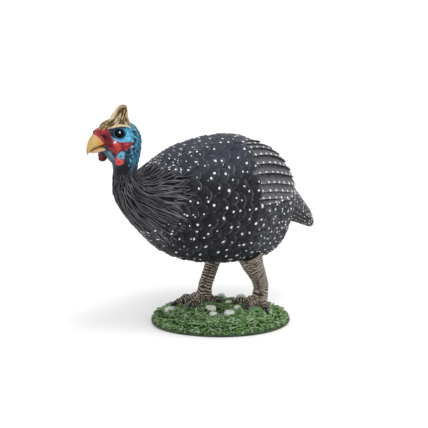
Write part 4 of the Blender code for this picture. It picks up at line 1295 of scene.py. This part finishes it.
class FIGURINE_OT_legs(bpy.types.Operator):
    """Model the ringed legs with their toes fused to them, and the dark claws"""

    bl_idname = "figurine.legs"
    bl_label = "Legs and feet"

    def execute(self, context):
        c = colours()
        paint = Paint("leg_paint", 0.5, 0.12)
        worn = paint.noise(0.4 * MM, 3.0)
        ground = paint.mix(worn.between(0.35, 0.65), [0.55 * x for x in c.leg], c.leg)
        paint.colour(paint.mix(paint.attribute("groove").between(0.08, 0.48) * 0.95, ground, c.leg_wash))
        paint.bump(worn, 0.4, 0.05 * MM)
        claw_paint = Paint("claw_paint", 0.28, 0.3)
        shade = claw_paint.noise(0.5 * MM)
        claw_paint.colour(claw_paint.mix(shade.between(0.45, 0.7), (0.010, 0.009, 0.010), (0.045, 0.040, 0.040)))
        pitch = sizes().scute_pitch / MM
        for side in SIDES:
            limbs, claws = [], []
            path = through(LEGS[side] + [(*LEGS[side][-1][:2], 3.6, 1.7)], np.linspace(0, 6, 150))
            limbs.append((path, 56, 150))
            ankle = np.array(LEGS[side][-1][:3])
            sign = 1 if side == "left" else -1
            for turn, full_length in TOES.values():
                length = TOE_SHARE[side] * full_length
                heading = math.radians(FOOT_HEADING[side] + sign * turn)
                forward = np.array((math.sin(heading), -math.cos(heading), 0))
                toe = []
                for f in np.linspace(0, 1, 60):
                    place = ankle + forward * length * f
                    ground_z = float(base_height(place[0], place[1])) + 0.3
                    rise = max(0, 1 - 2.2 * f) ** 1.5 * (ankle[2] - 1.0 - ground_z)
                    knuckle = 1 + 0.10 * math.cos(2 * math.pi * f * 2.5)
                    radius = 1.0 * (1.15 - 0.4 * f) * knuckle * (1 - 0.5 * max(0, f - 0.9) * 10 * 0.6)
                    toe.append((place[0], place[1], ground_z + 0.75 * radius + rise, radius))
                limbs.append((toe, 36, 60))
                claw = []
                tip_z = toe[-1][2]
                for g in np.linspace(0, 1, 14):
                    place = ankle + forward * (length - 0.5 + 1.6 * g)
                    ground_z = float(base_height(place[0], place[1])) + 0.3
                    claw.append((place[0], place[1], max(ground_z + 0.15, tip_z + 0.3 - 0.9 * g * g), 0.62 - 0.5 * g**1.5))
                claws.append(claw)
            points, faces, groove = [], [], []
            for path, around, count in limbs:
                ring_points, ring_groove = tube(path, around, pitch, 0.28, 3.0 + len(faces), dark=0.14 * (count == 60))
                offset = len(points)
                points += list(ring_points)
                groove += list(ring_groove)
                faces += [tuple(offset + i for i in face) for face in ring_faces(count, around)]
            leg = mesh_piece("leg_skin_" + side, points, faces, {"groove": groove})
            settle(smooth(face_outwards(leg), 60), paint, "leg", "leg_" + side, "foot_" + side)
            points, faces = [], []
            for claw in claws:
                ring_points, _ = tube(claw, 20, 50, 0.0, 0, 0.0)
                offset = len(points)
                points += list(ring_points)
                faces += [tuple(offset + i for i in face) for face in ring_faces(14, 20)]
            talons = mesh_piece("claws_" + side, points, faces)
            settle(smooth(face_outwards(talons), 60), claw_paint, "leg")
        return {"FINISHED"}


class BaseForm(Form):
    """The oval base read like a body: station from the middle out and down the edge, angle round it."""

    def __init__(self):
        self.rows = BASE_PROFILE
        self.relief = None

    def points(self, station, angle):
        table = through(BASE_PROFILE, station)
        reach = table[:, 0] * (1 + 0.04 * np.exp(-(((np.asarray(angle) % 360 - 148) / 26) ** 2)))  # fuller at one end
        u = reach * np.cos(np.radians(angle)) * BASE_HALF_LENGTH
        v = -reach * np.sin(np.radians(angle)) * BASE_HALF_WIDTH
        turn = math.radians(BASE_TURN)
        return np.stack([
            BASE_CENTRE[0] + u * math.cos(turn) - v * math.sin(turn),
            BASE_CENTRE[1] + u * math.sin(turn) + v * math.cos(turn),
            table[:, 1],
        ], 1)


BASE_FORM = BaseForm()


class FIGURINE_OT_base(bpy.types.Operator):
    """Model the oval ground, its matted blades of grass and its pebbles"""

    bl_idname = "figurine.base"
    bl_label = "Base"

    def execute(self, context):
        c = colours()
        around = 180
        rows = np.concatenate([np.linspace(0.08, 3, 50), np.linspace(3.1, 7, 30)])
        station = np.repeat(rows, around)
        angle = np.tile(np.arange(around) * 360 / around, len(rows))
        points = BASE_FORM.points(station, angle)
        points[:, 2] += (0.12 * grain(points, 1.6) - 0.1) * step(6.5, 4.5, station) * step(0.2, 1.0, points[:, 2])
        ground = mesh_piece("base_ground", points, ring_faces(len(rows), around))
        paint = Paint("ground_paint", 0.55)
        worn = paint.noise(1.2 * MM, 4.0)
        paint.colour(paint.mix(worn.between(0.4, 0.7), c.grass_dark, [0.38 * x for x in c.grass]))
        paint.bump(worn, 0.5, 0.2 * MM)
        settle(smooth(face_outwards(ground), 60), paint, "grass", "base")

        draw = random.Random(21)
        taken = []
        for k in range(1, 9):
            low, high = (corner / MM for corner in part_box(f"pebble_{k}"))
            taken.append(((low + high) / 2, (high.x - low.x + high.y - low.y) / 4))
        spots = []
        length = sizes().blade_length / MM
        while len(spots) < sizes().blade_count:
            reach = math.sqrt(draw.uniform(0.0, 1.0))
            turn = draw.uniform(0, 360)
            row = float(np.interp(reach, (0, 0.3, 0.6, 0.82, 0.94, 1.0), (0, 1, 2, 3, 4, 5)))
            if draw.random() < 0.10:
                row = draw.uniform(3.5, 4.2)
            row = min(4.2, max(0.4, row))
            place = BASE_FORM.points(np.array([row]), np.array([turn]))[0]
            # The patch under the body between the feet has fewer, flatter blades, painted darker as shade under the
            # bird
            bare = math.exp(-(math.dist(place[:2], (3.6, -3.6)) / 3.4) ** 4)
            if draw.random() < 0.85 * bare:
                continue
            heading = draw.gauss(0, 35) if row > 3.2 else draw.uniform(-180, 180)
            steep = float(step(3.2, 4.2, row))
            long = length * draw.uniform(0.6, 1.15) * (1 - 0.66 * float(step(3.0, 3.8, row)))
            spots.append(spot(
                row, turn, long, draw.uniform(0.40, 0.66), heading, draw.uniform(-0.9, 0.9), 0, 0.05,
                draw.uniform(0.3, 0.95) / long * (1 - 0.6 * bare) * (1 - 0.8 * steep), 0.25, 0,
                # Painted shade: blades in the patch under the body are darker
                min(1, (draw.random() + 0.3 * float(step(1, 9, 0.6 * place[0] + 0.8 * place[1]))) * (1 - bare)),
                draw.random()))
        paint = Paint("grass_paint", 0.5, 0.2)
        rim, foot, side = paint.attribute("rim"), paint.attribute("foot"), paint.attribute("side")
        worn = paint.noise(1.5 * MM, 3.0)
        ridge = 1 - paint.node("ShaderNodeMath", {"operation": "ABSOLUTE"}, [side])
        colour = paint.mix(paint.attribute("tone"), [0.40 * x for x in c.grass], [1.35 * x for x in c.grass])
        pale = worn.between(0.46, 0.62) * ridge.between(0.35, 0.9) * rim.between(0.1, 0.6)
        colour = paint.mix(pale * 0.8, colour, c.grass_pale)
        colour = paint.mix(ridge.between(0.55, 0.05) * 0.95, colour, c.grass_dark)
        # Painted shade: the sunk walls under each blade are near black
        paint.colour(paint.mix(foot.between(0.1, 0.6), colour, (0.008, 0.022, 0.007)))
        spots = as_spots(spots)
        clear = np.ones(len(spots), bool)
        for share in (0.0, 0.35, 0.7, 1.0):
            s, a, _ = where_on(spots, BASE_FORM, np.zeros(len(spots)), np.full(len(spots), share))
            places = BASE_FORM.points(s, a)
            for stone_place, size in taken:
                clear &= np.hypot(places[:, 0] - stone_place.x, places[:, 1] - stone_place.y) > size * 1.02
        spots = spots[clear]
        blades = lay("grass_blades", Blade("grass_blade", 4, 6, 0.2), BASE_FORM, spots, 0.3, 7.0)
        settle(smooth(blades, 50), paint, "grass")

        stone = Paint("pebble_paint", 0.6)
        speck = stone.noise(0.5 * MM, 4.0)
        tone = stone.mix(speck.between(0.35, 0.65), [0.8 * x for x in c.pebble], c.pebble)
        stone.colour(stone.mix(stone.noise(2 * MM).between(0.5, 0.7) * 0.2, tone, c.grass))
        stone.bump(speck, 0.4, 0.08 * MM)
        for k in range(1, 9):
            low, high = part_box(f"pebble_{k}")
            deselect()
            bpy.ops.mesh.primitive_ico_sphere_add(subdivisions=4, radius=1)
            pebble = bpy.context.object
            pebble.name = f"stone_{k}"
            centre, half = (low + high) / 2 + Vector((0, 0, 0.1 * MM)), (high - low) / 2
            for vert in pebble.data.vertices:
                lump = 1 + 0.13 * noise.noise(vert.co * 1.6 + Vector((k, 0, 0)))
                level = vert.co.z * (1.2 - 0.35 * vert.co.z**2)
                vert.co = (
                    centre.x + half.x * vert.co.x * lump,
                    centre.y + half.y * vert.co.y * lump,
                    centre.z + half.z * level * 1.5 * lump,
                )
            settle(smooth(pebble, 60), stone, "pebble", f"pebble_{k}")
        return {"FINISHED"}


class FIGURINE_OT_stage(bpy.types.Operator):
    """Lay the pale floor and set the soft studio lights and the camera"""

    bl_idname = "figurine.stage"
    bl_label = "Stage"

    def execute(self, context):
        deselect()
        bpy.ops.mesh.primitive_plane_add(size=6)
        floor = bpy.context.object
        floor.name = "floor"
        paint = Paint("floor_paint", 0.6)
        paint.colour(paint.mix(paint.noise(0.5), (0.90, 0.90, 0.90), (0.91, 0.91, 0.91)))
        floor.data.materials.append(paint.material)

        world = bpy.data.worlds.new("studio")
        world.use_nodes = True
        world.node_tree.nodes["Background"].inputs["Color"].default_value = (1, 1, 1, 1)
        world.node_tree.nodes["Background"].inputs["Strength"].default_value = 1.0
        context.scene.world = world
        context.scene.view_settings.view_transform = "Standard"

        target = Vector(CAMERA_TARGET)
        for name, azimuth, elevation, distance, size, power in (
            ("key", 115, 62, 0.55, 0.30, 1.3),
            ("fill", 15, 40, 0.7, 0.5, 0.6),
            ("glint", 43, 47, 0.5, 0.05, 0.12),
        ):
            a, e = math.radians(azimuth), math.radians(elevation)
            away = Vector((math.sin(a) * math.cos(e), -math.cos(a) * math.cos(e), math.sin(e)))
            bpy.ops.object.light_add(type="AREA", location=target + away * distance)
            lamp = bpy.context.object
            lamp.name = name
            lamp.rotation_euler = (-away).to_track_quat("-Z", "Y").to_euler()
            lamp.data.size = size
            lamp.data.energy = power

        a, e = math.radians(AZIMUTH), math.radians(ELEVATION)
        away = Vector((math.sin(a) * math.cos(e), -math.cos(a) * math.cos(e), math.sin(e)))
        bpy.ops.object.camera_add(location=target + away * CAMERA_DISTANCE)
        camera = bpy.context.object
        camera.rotation_euler = (-away).to_track_quat("-Z", "Y").to_euler()
        camera.data.lens = CAMERA_LENS
        camera.data.sensor_width = 36
        context.scene.camera = camera
        return {"FINISHED"}


OPERATORS = (
    FIGURINE_OT_stage,
    FIGURINE_OT_skin,
    FIGURINE_OT_strands,
    FIGURINE_OT_feathers,
    FIGURINE_OT_vanes,
    FIGURINE_OT_tail,
    FIGURINE_OT_dots,
    FIGURINE_OT_casque,
    FIGURINE_OT_beak,
    FIGURINE_OT_eyes,
    FIGURINE_OT_wattles,
    FIGURINE_OT_legs,
    FIGURINE_OT_base,
)


class FIGURINE_PT_panel(bpy.types.Panel):
    """Lists the figurine's pieces, sizes and colours"""

    bl_idname = "FIGURINE_PT_panel"
    bl_label = "Guinea Fowl Figurine"
    bl_space_type = "VIEW_3D"
    bl_region_type = "UI"
    bl_category = "Figurine"

    def draw(self, context):
        for operator in OPERATORS:
            self.layout.operator(operator.bl_idname)
        for group in (context.scene.figurine_sizes, context.scene.figurine_colours):
            column = self.layout.column()
            for name in group.__annotations__:
                column.prop(group, name)


CLASSES = (FigurineSizes, FigurineColours, *OPERATORS, FIGURINE_PT_panel)


def register():
    for made in CLASSES:
        bpy.utils.register_class(made)
    bpy.types.Scene.figurine_sizes = PointerProperty(type=FigurineSizes)
    bpy.types.Scene.figurine_colours = PointerProperty(type=FigurineColours)


def unregister():
    del bpy.types.Scene.figurine_colours
    del bpy.types.Scene.figurine_sizes
    for made in reversed(CLASSES):
        bpy.utils.unregister_class(made)


def main():
    register()
    for operator in OPERATORS:
        family, name = operator.bl_idname.split(".")
        getattr(getattr(bpy.ops, family), name)()


if __name__ == "__main__":
    main()
